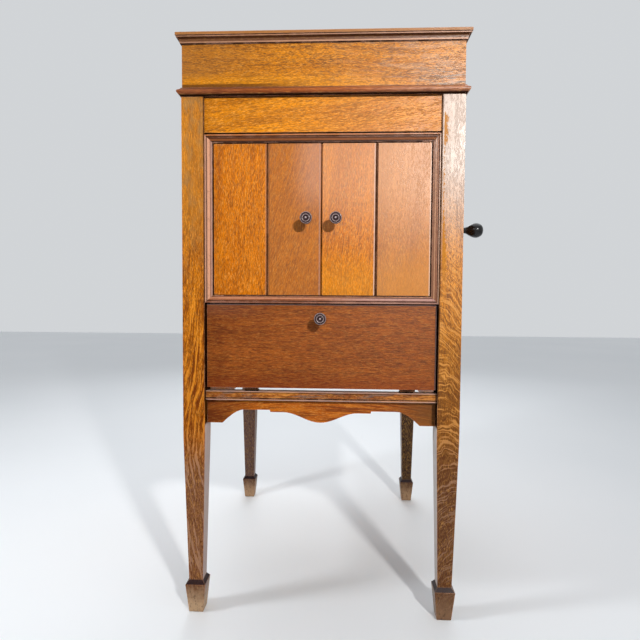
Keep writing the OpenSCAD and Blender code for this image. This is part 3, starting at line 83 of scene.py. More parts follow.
# Oak grain: length along it, width across it, place in the noise, detail, roughness
GRAIN = {
    "tone": (0.34, 0.045, 2, 3.0, 0.55),
    "band": (0.30, 0.0042, 5, 3.0, 0.6),
    "fleck": (0.0076, 0.0011, 7, 2.0, 0.6),
    "fine": (0.0042, 0.0007, 9, 1.5, 0.6),
    # Pale flecks, partly painted glints off the polish
    "glint_fleck": (0.0066, 0.0010, 11, 2.0, 0.6),
    "mottle": (0.030, 0.0075, 3, 2.0, 0.55),
}
GRAIN_WANDER = 12 * MM
OPEN_PORES, SMALL_PORES = 0.62, 0.60

# Hex codes of light wood, brown wood and pores
GOLD_OAK = ("D8800E", "AC5C0A", "52280A")
RED_OAK = ("9A501D", "7F3E17", "42200C")
DARK_OAK = ("8A5630", "643A24", "341A0E")
DEEP_OAK = ("96601E", "7C4A16", "42240E")
BARE_OAK = ("B98A58", "96683C", "6A4424")


# ---------- Objects ----------

def add_object(name, data):
    obj = bpy.data.objects.new(name, data)
    bpy.context.scene.collection.objects.link(obj)
    return obj


def add_mesh(name, bm, material):
    mesh = bpy.data.meshes.new(name)
    bm.to_mesh(mesh)
    bm.free()
    mesh.materials.append(material)
    return add_object(name, mesh)


# ---------- Node helpers ----------

class Tree:
    """Short calls that add nodes to one node tree."""

    def __init__(self, tree):
        self.tree = tree
        tree.nodes.clear()

    def node(self, kind, inputs=None, **settings):
        made = self.tree.nodes.new("ShaderNode" + kind)
        for key, value in settings.items():
            setattr(made, key, value)
        for key, value in (inputs or {}).items():
            self.put(made.inputs[key], value)
        return made

    def put(self, socket, value):
        if isinstance(value, bpy.types.NodeSocket):
            self.tree.links.new(value, socket)
        else:
            socket.default_value = value

    def math(self, operation, *values):
        """The operation on one value, or from the first value through to the last."""
        result = values[0]
        for value in values[1:] or (0.0,):
            result = self.node("Math", {0: result, 1: value}, operation=operation).outputs[0]
        return result

    def times(self, *values):
        return self.math("MULTIPLY", *values)

    def plus(self, *values):
        return self.math("ADD", *values)

    def minus(self, a, b):
        return self.math("SUBTRACT", a, b)

    def larger(self, *values):
        return self.math("MAXIMUM", *values)

    def magnitude(self, value):
        return self.math("ABSOLUTE", value)


class Graph(Tree):
    """The tree of one material, with the fields and masks that its look is made from."""

    def __init__(self, name):
        self.material = bpy.data.materials.new(name)
        self.material.use_nodes = True
        super().__init__(self.material.node_tree)
        self.shader = self.node("BsdfPrincipled")
        self.node("OutputMaterial", {"Surface": self.shader.outputs[0]})
        self.place = self.node("TexCoord").outputs["Object"]
        self.normal = self.node("NewGeometry").outputs["Normal"]
        self.dull = None

    def set(self, **values):
        for key, value in values.items():
            self.put(self.shader.inputs[key.replace("_", " ")], value)

    def bump(self, height, distance, strength):
        inputs = {"Height": height, "Distance": distance, "Strength": strength}
        self.set(Normal=self.node("Bump", inputs).outputs[0])

    def split(self, vector):
        return self.node("SeparateXYZ", {0: vector}).outputs

    def join(self, x, y, z):
        return self.node("CombineXYZ", {0: x, 1: y, 2: z}).outputs[0]

    def noise(self, vector, sizes, detail=2.0, roughness=0.5, shift=(0, 0, 0), distortion=0.0):
        """Noise whose grains have the sizes given, in metres."""
        inputs = {"Vector": vector, "Scale": tuple(1 / size for size in sizes), "Location": shift}
        vector = self.node("Mapping", inputs).outputs[0]
        inputs = {"Vector": vector, "Scale": 1.0, "Detail": detail, "Roughness": roughness,
                  "Distortion": distortion}
        return self.node("TexNoise", inputs).outputs["Fac"]

    def cloud(self, sizes, detail=2.0, roughness=0.5, shift=(0, 0, 0), distortion=0.0):
        """Noise laid over the object; one size serves for all three directions."""
        if isinstance(sizes, float):
            sizes = (sizes, sizes, sizes)
        return self.noise(self.place, sizes, detail, roughness, shift, distortion)

    def ramp(self, value, low, high, start, end, curve="LINEAR"):
        """A change from start to end as the value goes from low to high, straight if not told."""
        inputs = {"Value": value, "From Min": low, "From Max": high, "To Min": start, "To Max": end}
        return self.node("MapRange", inputs, interpolation_type=curve).outputs[0]

    def step(self, value, low, high, start=0.0, end=1.0):
        """A smooth change from start to end as the value goes from low to high."""
        return self.ramp(value, low, high, start, end, "SMOOTHSTEP")

    def over(self, value, level, soft):
        """One above the level and nothing under it, softened both ways."""
        return self.step(value, level - soft, level + soft)

    def under(self, value, level, soft):
        """The opposite of over: one under the level."""
        return self.step(value, level - soft, level + soft, 1.0, 0.0)

    def stripe(self, value, low, high, soft):
        """One between low and high, softened both ways at each."""
        return self.times(self.over(value, low, soft), self.under(value, high, soft))

    def contour(self, value, level, width):
        """A thin line where the value passes the level."""
        return self.step(self.magnitude(self.minus(value, level)), 0.0, width, 1.0, 0.0)

    def mix(self, factor, a, b):
        return self.node("Mix", {0: factor, 6: a, 7: b}, data_type="RGBA").outputs[2]

    def mix_value(self, factor, a, b):
        return self.node("Mix", {0: factor, 2: a, 3: b}, data_type="FLOAT").outputs[0]

    def stains_and_painted_light(self, colour, *layers):
        """Stains and painted light and shade laid one over another, each a mask, an amount and a hex
        code.
        """
        for mask, amount, hex_code in layers:
            colour = self.mix(self.times(mask, amount), colour, tint(hex_code))
        return colour

    def without_shine(self, mask):
        """Takes the shine off where the mask lies: painted shade in creases and under things, and
        unpolished patches.
        """
        self.dull = self.larger(self.dull, mask) if self.dull else mask
        return mask

    def facing_front(self):
        """One on faces that look to the front; only for nodes that never move."""
        return self.step(self.split(self.normal)[1], -0.5, -0.8)

    def openness(self, reach, samples):
        """Low in corners and one on open faces."""
        return self.node("AmbientOcclusion", {"Distance": reach}, samples=samples).outputs["AO"]

    def flatness(self, radius):
        """One on flat faces and less along an arris."""
        rounded = self.node("Bevel", {"Radius": radius}, samples=4).outputs[0]
        inputs = {0: rounded, 1: self.normal}
        return self.node("VectorMath", inputs, operation="DOT_PRODUCT").outputs["Value"]


def tint(hex_code):
    """A linear colour from a hex code as it would be seen on a screen."""
    parts = [int(hex_code[i:i + 2], 16) / 255 for i in (0, 2, 4)]
    return tuple(p / 12.92 if p <= 0.04045 else ((p + 0.055) / 1.055) ** 2.4 for p in parts) + (1,)


# ---------- Camera, lights, surroundings and floor ----------

def make_camera():
    """The camera stands where the photograph was taken from."""
    data = bpy.data.cameras.new("camera")
    data.lens = LENS_MM
    data.sensor_width = SENSOR_MM
    data.clip_start = NEAREST_SEEN
    camera = add_object("camera", data)
    turn = Matrix.Rotation(CAMERA_YAW, 4, "Z")
    turn = turn @ Matrix.Rotation(math.pi / 2 + CAMERA_PITCH, 4, "X")
    turn = turn @ Matrix.Rotation(CAMERA_ROLL, 4, "Z")
    camera.matrix_world = Matrix.Translation(CAMERA_PLACE) @ turn
    bpy.context.scene.camera = camera


def make_world():
    """Even pale surroundings; camera and mirror rays see the pale background."""
    world = bpy.data.worlds.new("studio")
    world.use_nodes = True
    bpy.context.scene.world = world
    g = Tree(world.node_tree)
    inputs = {"Color": AMBIENT_COLOUR, "Strength": AMBIENT_STRENGTH}
    ambient = g.node("Background", inputs).outputs[0]
    backdrop = g.node("Background", {"Color": BACKDROP_COLOUR, "Strength": 1.0}).outputs[0]
    path = g.node("LightPath").outputs
    sight = g.larger(path["Is Camera Ray"], path["Is Glossy Ray"], path["Is Transmission Ray"])
    seen = g.node("MixShader", {0: sight, 1: ambient, 2: backdrop}).outputs[0]
    g.node("OutputWorld", {"Surface": seen})


def make_lights():
    """A small lamp right of the camera, a weaker one on the left, and soft light on the floor."""
    for name, place, target, side, spread, power, colour in LAMPS:
        data = bpy.data.lights.new(name, "AREA")
        data.shape = "SQUARE"
        data.size = side
        data.spread = math.radians(spread)
        data.energy = power
        data.color = colour
        light = add_object(name, data)
        light.location = place
        light.rotation_mode = "QUATERNION"
        light.rotation_quaternion = (Vector(target) - Vector(place)).to_track_quat("-Z", "Y")
    data = bpy.data.lights.new("sky_fill", "SUN")
    data.energy = SKY_STRENGTH
    data.angle = SKY_WIDTH
    data.color = SKY_COLOUR
    add_object("sky_fill", data).rotation_euler = (SKY_TILT, 0, 0)


def make_floor():
    """A plain pale floor just under the feet."""
    bm = bmesh.new()
    bmesh.ops.create_grid(bm, x_segments=1, y_segments=1, size=FLOOR_HALF_SIDE)
    g = Graph("floor_paint")
    g.set(Base_Color=g.mix(g.cloud(0.8), tint("F3F6F9"), tint("EAEEF2")), Roughness=0.6)
    floor = add_mesh("floor", bm, g.material)
    floor.location.z = -FLOOR_DROP


# ---------- Oak ----------

def grain_axes(g, layout):
    """Distances along the grain, across it on the face, and into the wood."""
    x, y, z = g.split(g.place)
    if layout == "x":
        return x, z, y
    if layout == "y":
        return y, z, x
    if layout == "z":
        return z, x, y
    if layout == "lid":
        # The grain turns the corners of the lid
        facing = g.magnitude(g.split(g.normal)[0])
        side = g.math("GREATER_THAN", facing, 0.35)
        return g.mix_value(side, x, y), z, g.mix_value(side, y, x)
    # The surround: the grain follows each of its four lengths, mitred in the corners
    to_side, to_end = surround_places(g)
    side = g.math("LESS_THAN", to_side, to_end)
    return g.mix_value(side, x, z), g.mix_value(side, z, x), y


def surround_places(g):
    """How far a point of the surround lies in from its upright edges and from its top or foot."""
    x, _, z = g.split(g.place)
    to_side = g.minus(SURROUND_HIGH.x, g.magnitude(x))
    to_top = g.minus(SURROUND_HIGH.z - SURROUND_QUIRK, z)
    to_foot = g.minus(z, SURROUND_LOW.z)
    return to_side, g.math("MINIMUM", to_top, to_foot)


def oak(name, layout, seed, light, brown, pore, slant=0.0, rays=None, sheen=0.34, pores=1.0,
        extra=None, coat=0.0, ground=None, glint_amount=0.42, blotches=0.40):
    """Waxed oak: slow tone changes, growth bands, dark open pores and optional ray flecks."""
    g = Graph(name)
    light = tint(light)
    brown = tint(brown)
    pore = tint(pore)
    along, across, deep = grain_axes(g, layout)
    if callable(slant):
        slant = slant(g)
    across = g.minus(across, g.times(along, slant))
    wander = g.noise(g.join(along, across, deep), (0.16, 0.05, 0.05), 1.0, shift=(seed, 0, 0))
    across = g.plus(across, g.times(g.minus(wander, 0.5), GRAIN_WANDER))
    grain = g.join(along, across, deep)
    field = {}
    for feature, (length, width, shift, detail, roughness) in GRAIN.items():
        sizes = (length, width, width)
        field[feature] = g.noise(grain, sizes, detail, roughness, (seed, shift, 0))

    # Pores gather in the dark bands and patches
    cluster = g.plus(g.times(g.minus(field["band"], 0.5), 0.35),
                     g.times(g.minus(field["mottle"], 0.5), 0.30))
    open_pore = g.step(g.plus(field["fleck"], cluster), 0.51, 0.61)
    small_pore = g.step(field["fine"], 0.49, 0.58)
    colour = g.mix(g.step(field["tone"], 0.35, 0.68), light, brown)
    colour = g.mix(g.step(field["band"], 0.40, 0.75, 0.0, 0.55), colour, brown)
    colour = g.mix(g.step(field["mottle"], 0.46, 0.62, 0.0, blotches), colour, brown)
    if ground:
        colour = ground(g, colour)
    # Pale flecks: the oak's figure, partly painted glints off the polish
    glint_fleck = g.mix(0.6, light, tint("FFC468"))
    colour = g.mix(g.step(field["glint_fleck"], 0.52, 0.62, 0.0, glint_amount), colour, glint_fleck)
    colour = g.mix(g.times(open_pore, OPEN_PORES * pores), colour, pore)
    colour = g.mix(g.times(small_pore, SMALL_PORES * pores), colour, pore)
    if rays:
        colour = rays(g, colour, along, across, deep)
    if extra:
        colour = extra(g, colour)

    # Corners darkened from an occlusion mask: painted shade with grime. The arrises are lighter:
    # rubbed wear with a painted highlight
    dark_corner = g.step(g.openness(4 * MM, 6), 0.25, 0.80, 0.90, 0.0)
    colour = g.mix(dark_corner, colour, tint("160A06"))
    # Lighter arrises: rubbed wear with a painted highlight of the surroundings
    rub = g.cloud(0.02, 3.0, 0.6, (seed, 0, 3))
    lightened = g.times(g.step(g.flatness(1.6 * MM), 0.995, 0.90), g.step(rub, 0.42, 0.62, 0.15, 0.70))
    colour = g.mix(lightened, colour, g.mix(0.55, light, tint("C8A090")))

    # The polish shines most at the top and to the right, and least in pores and where a mask takes
    # the shine away
    blotch = g.cloud(0.05, 3.0, 0.6, (seed, 1, 1))
    rough = g.step(blotch, 0.3, 0.7, sheen - 0.05, sheen + 0.08)
    rough = g.plus(rough, g.times(open_pore, 0.16))
    x, _, z = g.split(g.place)
    polish = g.times(g.step(x, -0.16, 0.20, 0.12, 0.50), g.step(z, 0.25, 0.80, 0.25, 1.0))
    clean = g.minus(1.0, g.dull) if g.dull else 1.0
    g.set(Base_Color=colour, Roughness=rough, Specular_IOR_Level=g.times(polish, clean))
    if coat:
        layer = g.times(g.step(z, 0.50, 0.80), coat, clean)
        g.set(Coat_Weight=layer, Coat_Roughness=0.40)
    height = g.minus(g.times(field["band"], 0.3), g.times(open_pore, 0.8))
    g.bump(height, 0.22 * MM, 0.55)
    return g.material


# ---------- The legs: heights and distances in metres ----------

def arched_rays(g, colour, along, across, deep):
    """Ray flecks that fall to the right high on the leg, arch over it, then rise near the foot."""
    off = g.minus(across, LEG_X)
    lean = g.ramp(along, 0.12, 0.46, -1.1, 1.0)
    bend = g.times(off, off, 16.0)
    drift = g.times(g.cloud((0.022, 0.022, 0.030), 2.0, 0.45, (0, 0, 4)), 0.030)
    place = g.join(g.plus(along, g.times(lean, off), bend, drift), off, deep)
    line = g.noise(place, (0.0031, 0.040, 0.04), 1.0, 0.5, (3, 0, 0))
    ripple = g.noise(place, (0.0022, 0.012, 0.02), 1.5, 0.5, (5, 0, 0))
    low = g.step(along, 0.66, 0.50, 0.25, 1.0)
    colour = g.stains_and_painted_light(
        colour,
        (g.times(g.step(line, 0.46, 0.39), low), 0.38, "4A2610"),
        (g.step(ripple, 0.52, 0.62), 0.35, "5A3214"))
    pale = g.times(g.step(line, 0.55, 0.63), low, g.step(along, 0.34, 0.10, 0.62, 0.42))
    bright = g.mix(g.step(along, 0.36, 0.22), tint("D8964A"), tint("A07C62"))
    return g.mix(pale, colour, bright)


def long_rays(g, colour, along, across, deep):
    """Long pale and dark streaks down the leg, leaning one way and then the other."""
    lean = g.ramp(along, 0.16, 0.40, -0.14, 0.11)
    side = g.minus(across, g.times(lean, g.minus(along, 0.28)))
    drift = g.times(g.cloud((0.02, 0.02, 0.04), 2.0, 0.5, (0, 3, 0)), 0.010)
    place = g.join(along, g.plus(side, drift), deep)
    streak = g.noise(place, (0.050, 0.0036, 0.0036), 1.5, 0.5, (2, 0, 0))
    high = g.step(along, 0.24, 0.34)
    upper = g.step(along, 0.60, 0.46, 0.30, 1.0)
    dark = g.times(g.step(streak, 0.46, 0.40), upper, high)
    colour = g.stains_and_painted_light(colour, (dark, 0.80, "662A08"))
    pale = g.times(g.step(streak, 0.55, 0.60), upper, 0.65)
    return g.mix(pale, colour, g.mix(high, tint("A88064"), tint("DC8A28")))


def leg_ground(middle, middle_amount, foot, foot_amount):
    """Darker on the leg at the height of the flap and greyer towards the floor."""
    def ground(g, colour):
        z = g.split(g.place)[2]
        return g.stains_and_painted_light(
            colour,
            (g.step(z, 0.60, 0.34), middle_amount, middle),
            (g.step(z, 0.34, 0.22), foot_amount, foot))
    return ground


def back_leg_shade(hex_code):
    """Painted shade on a back leg: greyed low down on the faces that look forward or inward."""
    def ground(g, colour):
        x, _, z = g.split(g.place)
        inward = g.step(g.times(g.split(g.normal)[0], x), -0.05, -0.12)
        seen = g.times(g.larger(g.facing_front(), inward), g.step(z, 0.46, 0.38))
        return g.stains_and_painted_light(colour, (seen, 0.96, hex_code))
    return ground


def leg_finish(tip_amount, tip, inner, shade_amount):
    """A dark shoulder, inner sides painted grey as a reflection, painted shade where the rails meet
    it, and a rubbed foot.
    """
    def finish(g, colour):
        x, _, z = g.split(g.place)
        facing = g.split(g.normal)[0]
        inward = g.step(g.times(facing, x), -0.05, -0.12)
        inner_side_reflection = g.times(inward, g.under(z, APRON_FOOT, 4 * MM))
        sideways = g.step(g.magnitude(facing), 0.5, 0.9)
        inner_half = g.step(g.magnitude(x), LEG_X, LEG_X - 1 * MM)
        side_shade = g.times(sideways, g.over(z, APRON_FOOT, 2 * MM), inner_half)
        spade = g.step(z, 0.058, 0.052)
        scuff = g.cloud(0.010, 4.0, 0.65)
        lightened = g.step(g.plus(z, g.times(scuff, 0.04)), 0.078, 0.026)
        lightened = g.times(lightened, g.step(z, 0.050, 0.046))
        soil = g.cloud((0.006, 0.006, 0.012), 3.0, 0.65, (4, 0, 0))
        return g.stains_and_painted_light(
            colour,
            # Inner sides painted pale grey as a reflection of the surroundings
            (inner_side_reflection, 0.80, inner),
            # Painted shade on the sides where the rails meet the leg
            (g.without_shine(side_shade), shade_amount, "0A0403"),
            (spade, 0.55, "5A3A28"),
            (g.stripe(z, SHOULDER_LOW, SHOULDER_HIGH, 0.4 * MM), 0.9, "241C22"),
            (lightened, tip_amount, tip),
            (g.times(spade, g.step(soil, 0.54, 0.66)), 0.55, "3A2418"))
    return finish


def right_leg_finish(g, colour):
    """The lit leg: a painted reflection of the lamp towards the top, with ragged amber patches along
    its inner edge.
    """
    x, _, z = g.split(g.place)
    front = g.facing_front()
    ragged = g.cloud((0.0022, 0.0022, 0.005), 3.0, 0.7, (2, 0, 0))
    edge = g.minus(x, LEG_LOW.x)
    patch = g.times(g.stripe(z, 0.790, 0.836, 4 * MM), 4.5 * MM)
    width = g.plus(patch, 4.6 * MM, g.step(z, 0.70, 0.60, 0.0, 6 * MM))
    reach = g.plus(width, g.times(g.minus(ragged, 0.5), 20 * MM))
    strip = g.times(
        g.step(g.minus(reach, edge), -0.3 * MM, 0.8 * MM),
        g.step(edge, 2.8 * MM, 4.0 * MM),
        g.step(z, 0.54, 0.62),
        front,
        g.step(z, 0.846, 0.838))
    # Painted shade along the inner edge where the rails meet the leg
    joint_shade = g.times(g.under(edge, 1.6 * MM, 0.3 * MM), g.over(z, RAIL_LOW, 1 * MM))
    colour = g.stains_and_painted_light(
        colour,
        # A painted reflection of the lamp on the front, towards the top
        (g.times(front, g.step(z, 0.58, 0.78)), 0.86, "AA9688"),
        (g.without_shine(strip), 0.80, "B8782C"),
        (g.without_shine(joint_shade), 0.80, "3A2010"))
    return leg_finish(0.40, "A88464", "CCC6C2", 1.0)(g, colour)


def left_leg_finish(g, colour):
    """The shaded leg: paler gold near the top, and painted shade where it meets the case."""
    x, _, z = g.split(g.place)
    cloud = g.cloud((0.02, 0.02, 0.05), 2.0, 0.6, (7, 0, 0))
    edge = g.minus(g.times(x, -1.0), LEG_LOW.x)
    # Painted shade along the inner edge where the rails meet the leg
    joint_shade = g.times(g.under(edge, 1.4 * MM, 0.3 * MM), g.over(z, RAIL_LOW, 1 * MM))
    colour = g.stains_and_painted_light(
        colour,
        (g.step(z, 0.58, 0.70), 0.25, "D09030"),
        (g.times(g.step(cloud, 0.48, 0.62), g.step(z, 0.5, 0.8)), 0.4, "8A7048"),
        (g.without_shine(joint_shade), 0.80, "3C1C08"))
    return leg_finish(0.85, "C4A482", "BCACA8", 0.85)(g, colour)


# ---------- The front, from the apron up to the surround ----------

def apron_tones(g, colour):
    """Redder and darker at the two ends, with long figure in the middle."""
    x, _, z = g.split(g.place)
    bow = g.plus(z, g.times(x, x, 0.55))
    figure = g.noise(g.join(x, 0.0, bow), (0.075, 0.01, 0.0040), 2.5, 0.6, (6, 0, 0))
    return g.stains_and_painted_light(
        colour,
        (g.step(figure, 0.50, 0.60), 0.70, "6A2E0E"),
        (g.step(figure, 0.45, 0.37), 0.5, "D07A24"),
        (g.step(g.magnitude(x), 0.08, 0.185), 0.6, "5C2C16"),
        (g.step(x, 0.10, 0.19), 0.35, "845C28"))


def lower_rail_tones(g, colour):
    """Greyed patches, painted highlights along the top edge and over the bead, and painted shade in
    the quirks and under the bead.
    """
    z = g.split(g.place)[2]
    patch = g.cloud((0.05, 0.05, 0.006), 3.0, 0.6, (4, 0, 0))
    # Painted shade in the quirks, under the bead and under the top edge
    crease_shade = g.larger(
        g.stripe(z, RAIL_LOW + 3.4 * MM, RAIL_LOW + 5.6 * MM, 0.3 * MM),
        g.under(z, RAIL_LOW + 1.0 * MM, 0.2 * MM),
        g.stripe(z, RAIL_HIGH - 3.0 * MM, RAIL_HIGH - 1.9 * MM, 0.2 * MM))
    return g.stains_and_painted_light(
        colour,
        (g.step(patch, 0.52, 0.64), 0.55, "6E625C"),
        (g.step(patch, 0.47, 0.38), 0.55, "D0883C"),
        # Painted highlights over the bead and along the top edge
        (g.stripe(z, RAIL_LOW + 1.2 * MM, RAIL_LOW + 2.8 * MM, 0.4 * MM), 0.75, "B8988C"),
        (g.over(z, RAIL_HIGH - 1.4 * MM, 0.3 * MM), 0.7, "9A847C"),
        (g.without_shine(crease_shade), 0.8, "1A0E0A"))


def flap_tones(g, colour):
    """Fine light and dark streaks across the flap, and a painted highlight along its top and right
    edges.
    """
    x, y, z = g.split(g.place)
    streak = g.cloud((0.020, 0.02, 0.0012), 3.0, 0.6, (9, 0, 0))
    upper_left = g.times(g.step(z, 0.50, 0.53), g.step(x, -0.05, -0.18))
    # A painted highlight along the top and right edges of the front
    edge = g.larger(g.over(z, FLAP_HIGH.z - 1.6 * MM, 0.4 * MM),
                    g.over(x, FLAP_HIGH.x - 1.8 * MM, 0.4 * MM))
    at_front = g.step(y, FLAP_LOW.y + 1.0 * MM, FLAP_LOW.y + 0.4 * MM)
    return g.stains_and_painted_light(
        colour,
        (g.step(streak, 0.52, 0.62), 0.35, "B0641F"),
        (g.step(streak, 0.47, 0.38), 0.45, "4E2412"),
        (g.step(z, 0.42, 0.39), 0.35, "7A2C10"),
        (upper_left, 0.30, "6A4A44"),
        (g.times(edge, at_front), 0.65, "A08C8C"))


def second_board(g, x):
    """One on the inner board of the left door."""
    return g.times(g.math("LESS_THAN", x, 0.0), g.math("GREATER_THAN", x, -BOARD_SPLIT))


def board_slant(g):
    """The inner board of the left door leans; the others run nearly straight."""
    x = g.split(g.place)[0]
    return g.plus(g.times(second_board(g, x), 0.24), 0.06)


def door_tones(g, colour):
    """A browner board, a paler board partly from a painted reflection, a painted reflection at the
    upper right, and painted light and shade in the V joints.
    """
    x, _, z = g.split(g.place)
    fourth = g.math("GREATER_THAN", x, BOARD_SPLIT)
    foot = SURROUND_LOW.z
    lower_right = g.times(g.step(z, foot + 0.11, foot + 0.03), g.over(x, 0.0, 1 * MM))
    # A painted reflection of the lamp at the upper right
    upper_right_reflection = g.times(g.step(x, 0.0, 2 * MM), g.step(z, 0.60, 0.74, 0.0, 0.42))
    cloud = g.cloud((0.03, 0.03, 0.05), 2.0, 0.55, (3, 0, 0))
    corner = g.plus(g.times(x, 1.2), g.times(cloud, 0.10))
    corner = g.minus(corner, g.times(g.minus(z, foot), 0.8))
    gold = g.times(g.step(corner, 0.130, 0.200), fourth)
    inner = g.times(g.step(x, -0.06, -0.01), g.step(x, 0.0, -1 * MM), g.step(z, 0.66, 0.74))
    from_left = g.plus(x, BOARD_SPLIT)
    from_right = g.minus(x, BOARD_SPLIT)
    # Painted shade down the V joints
    joints = g.larger(g.stripe(from_left, -1.4 * MM, 0.6 * MM, 0.2 * MM),
                      g.stripe(from_right, -1.6 * MM, 3.0 * MM, 0.3 * MM))
    outer_edge = RIGHT_DOOR_HIGH.x
    return g.stains_and_painted_light(
        colour,
        (lower_right, 0.30, "E09418"),
        (second_board(g, x), 0.45, "8A5834"),
        # The fourth board is paler partly as a painted reflection
        (fourth, 0.45, "AC7C54"),
        (upper_right_reflection, 1.0, "CE9870"),
        (gold, 0.32, "C47818"),
        (inner, 0.30, "D0A088"),
        # Painted shade on the right side of the left V joint
        (g.stripe(from_left, 0.6 * MM, 4.0 * MM, 0.5 * MM), 0.45, "5A3A28"),
        (g.stripe(from_left, -3.2 * MM, -1.4 * MM, 0.6 * MM), 0.35, "8C7468"),
        # A painted highlight on the left side of the right V joint
        (g.stripe(from_right, -3.4 * MM, -1.6 * MM, 0.3 * MM), 0.80, "D0B0A0"),
        (g.without_shine(joints), 0.92, "2A1610"),
        (g.stripe(x, -3.8 * MM, -2.0 * MM, 0.6 * MM), 0.55, "96807A"),
        # A painted highlight on the right door's outer edge
        (g.stripe(x, outer_edge - 1.8 * MM, outer_edge, 0.4 * MM), 0.6, "D8BCAC"))


def surround_tones(g, colour):
    """Painted light and shade in lines along each member of the moulding, lighter where a member
    faces the lamp, and painted shade in its quirks.
    """
    to_side, to_end = surround_places(g)
    inward = g.math("MINIMUM", to_side, to_end)
    x, _, z = g.split(g.place)
    upright = g.math("LESS_THAN", to_side, to_end)
    level = g.minus(1.0, upright)
    foot = g.times(level, g.math("LESS_THAN", z, SURROUND_MIDDLE))
    toward_right = g.step(x, -0.03, 0.10)
    # Painted light and shade in lines on each member: start and end in millimetres from its outer
    # edge, amount, hex code
    painted_light_by_member = [
        (g.times(upright, g.math("LESS_THAN", x, 0.0)),
         [(0.3, 3.6, 0.85, "E2A88A"), (3.6, 4.4, 0.70, "A0705A"), (4.4, 8.4, 0.85, "D49E80"),
          (8.4, 9.2, 0.80, "7C5040"), (9.2, 12.0, 0.80, "AE8878")]),
        (g.times(upright, g.math("GREATER_THAN", x, 0.0)),
         [(0.3, 1.8, 0.85, "E4B494"), (1.8, 3.4, 0.60, "9C6C50"), (3.4, 6.8, 0.70, "7E523A"),
          (6.8, 8.6, 0.85, "BC8C6C"), (8.6, 11.6, 0.70, "845C44")]),
        (g.times(level, g.math("GREATER_THAN", z, SURROUND_MIDDLE)),
         [(0.3, 3.0, 0.85, "AC642C"), (3.2, 6.8, 0.92, "44200A"), (6.8, 9.4, 0.85, "8A4E24"),
          (9.4, 20.0, 0.92, "2A150B")]),
        (g.times(foot, g.minus(1.0, toward_right)),
         [(0.0, 1.6, 0.80, "6E3E2C"), (1.6, 3.4, 0.80, "94583A"), (3.4, 5.0, 0.85, "60301A"),
          (5.0, 7.0, 0.75, "844A2C"), (7.0, 9.4, 0.85, "BC8060"), (9.4, 10.6, 0.80, "70402A")]),
        (g.times(foot, toward_right),
         [(0.2, 3.4, 0.80, "987064"), (3.4, 5.2, 0.92, "5A342A"), (5.2, 8.4, 0.85, "B08A82"),
          (8.4, 10.2, 0.85, "60463C")]),
    ]
    for member, lines in painted_light_by_member:
        for start, end, amount, hex_code in lines:
            line = g.stripe(inward, start * MM, end * MM, 0.3 * MM)
            colour = g.stains_and_painted_light(colour, (g.times(member, line), amount, hex_code))
    wear = g.cloud(0.004, 3.0, 0.7, (6, 0, 0))
    # Painted shade along the outer quirk and beside the door
    crease_shade = g.larger(g.under(inward, 0.1 * MM, 0.2 * MM), g.over(inward, 11.6 * MM, 0.4 * MM))
    return g.stains_and_painted_light(
        colour,
        (g.step(wear, 0.52, 0.68), 0.35, "5A3422"),
        (g.without_shine(crease_shade), 0.92, "1A0A08"))


def top_rail_tones(g, colour):
    """Painted shade and grime under the lid."""
    z = g.split(g.place)[2]
    crease_shade = g.over(z, LID_LOW - 2.2 * MM, 0.3 * MM)
    return g.stains_and_painted_light(colour, (g.without_shine(crease_shade), 0.9, "140804"))


# ---------- The lid ----------

def base_tones(g, colour):
    """Red along the nose with a painted reflection on its right end, and painted shade underneath."""
    x, _, z = g.split(g.place)
    nose = g.stripe(z, LID_LOW + 3.8 * MM, LID_LOW + 12.5 * MM, 0.8 * MM)
    wear = g.cloud((0.016, 0.016, 0.0012), 3.0, 0.65, (6, 0, 0))
    under = g.under(z, LID_LOW + 2.6 * MM, 0.8 * MM)
    top_left = g.times(g.over(z, LID_LOW + 9.5 * MM, 1 * MM), g.step(x, 0.06, -0.08))
    return g.stains_and_painted_light(
        colour,
        (nose, 0.70, "A85210"),
        # A painted reflection on the right end of the nose
        (g.times(nose, g.step(x, 0.02, 0.20)), 0.55, "B88868"),
        (g.times(nose, g.step(x, -0.08, -0.20)), 0.5, "9A6244"),
        (g.step(wear, 0.47, 0.60), 0.70, "6A300E"),
        (g.step(wear, 0.42, 0.36), 0.45, "CC7C34"),
        (g.times(nose, g.step(x, 0.0, -0.16)), 0.35, "5C2C14"),
        # Painted shade under the moulding
        (g.without_shine(under), 0.95, "0C0403"),
        (top_left, 0.6, "542A14"))


def frieze_tones(g, colour):
    """A browner left end on the front of the lid, a painted reflection in pale streaks to the right,
    and rubbed grey streaks at the lower right.
    """
    x, y, z = g.split(g.place)
    front = g.step(y, -0.20, -0.25)
    drift = g.cloud((0.09, 0.09, 0.03), 3.0, 0.6)
    left_end = g.step(g.plus(x, g.times(drift, 0.16)), 0.04, -0.18)
    gold = g.times(g.step(z, 0.912, 0.888), g.step(x, 0.16, 0.06))
    # Pale streaks to the right: a painted reflection of the lamp
    pale = g.cloud((0.05, 0.05, 0.006), 3.0, 0.6, (1, 4, 0))
    pale = g.times(g.step(pale, 0.50, 0.62), front, g.step(x, -0.02, 0.14))
    scratch = g.cloud((0.03, 0.03, 0.002), 3.0, 0.7, (8, 0, 0))
    corner = g.times(g.step(x, 0.12, 0.19), front, g.step(z, 0.925, 0.895))
    # Darker along the foot of the frieze at the left end
    dark_corner = g.times(g.step(z, LID_LOW + 20.6 * MM, LID_LOW + 19.0 * MM), g.step(x, 0.0, -0.12))
    return g.stains_and_painted_light(
        colour,
        (g.times(left_end, g.step(z, 0.890, 0.905)), 0.55, "8A5A2C"),
        (gold, 0.28, "DC9010"),
        (pale, 0.22, "C8A488"),
        (g.times(corner, g.step(scratch, 0.50, 0.60)), 0.8, "6A625C"),
        (dark_corner, 0.75, "3E1E0E"))


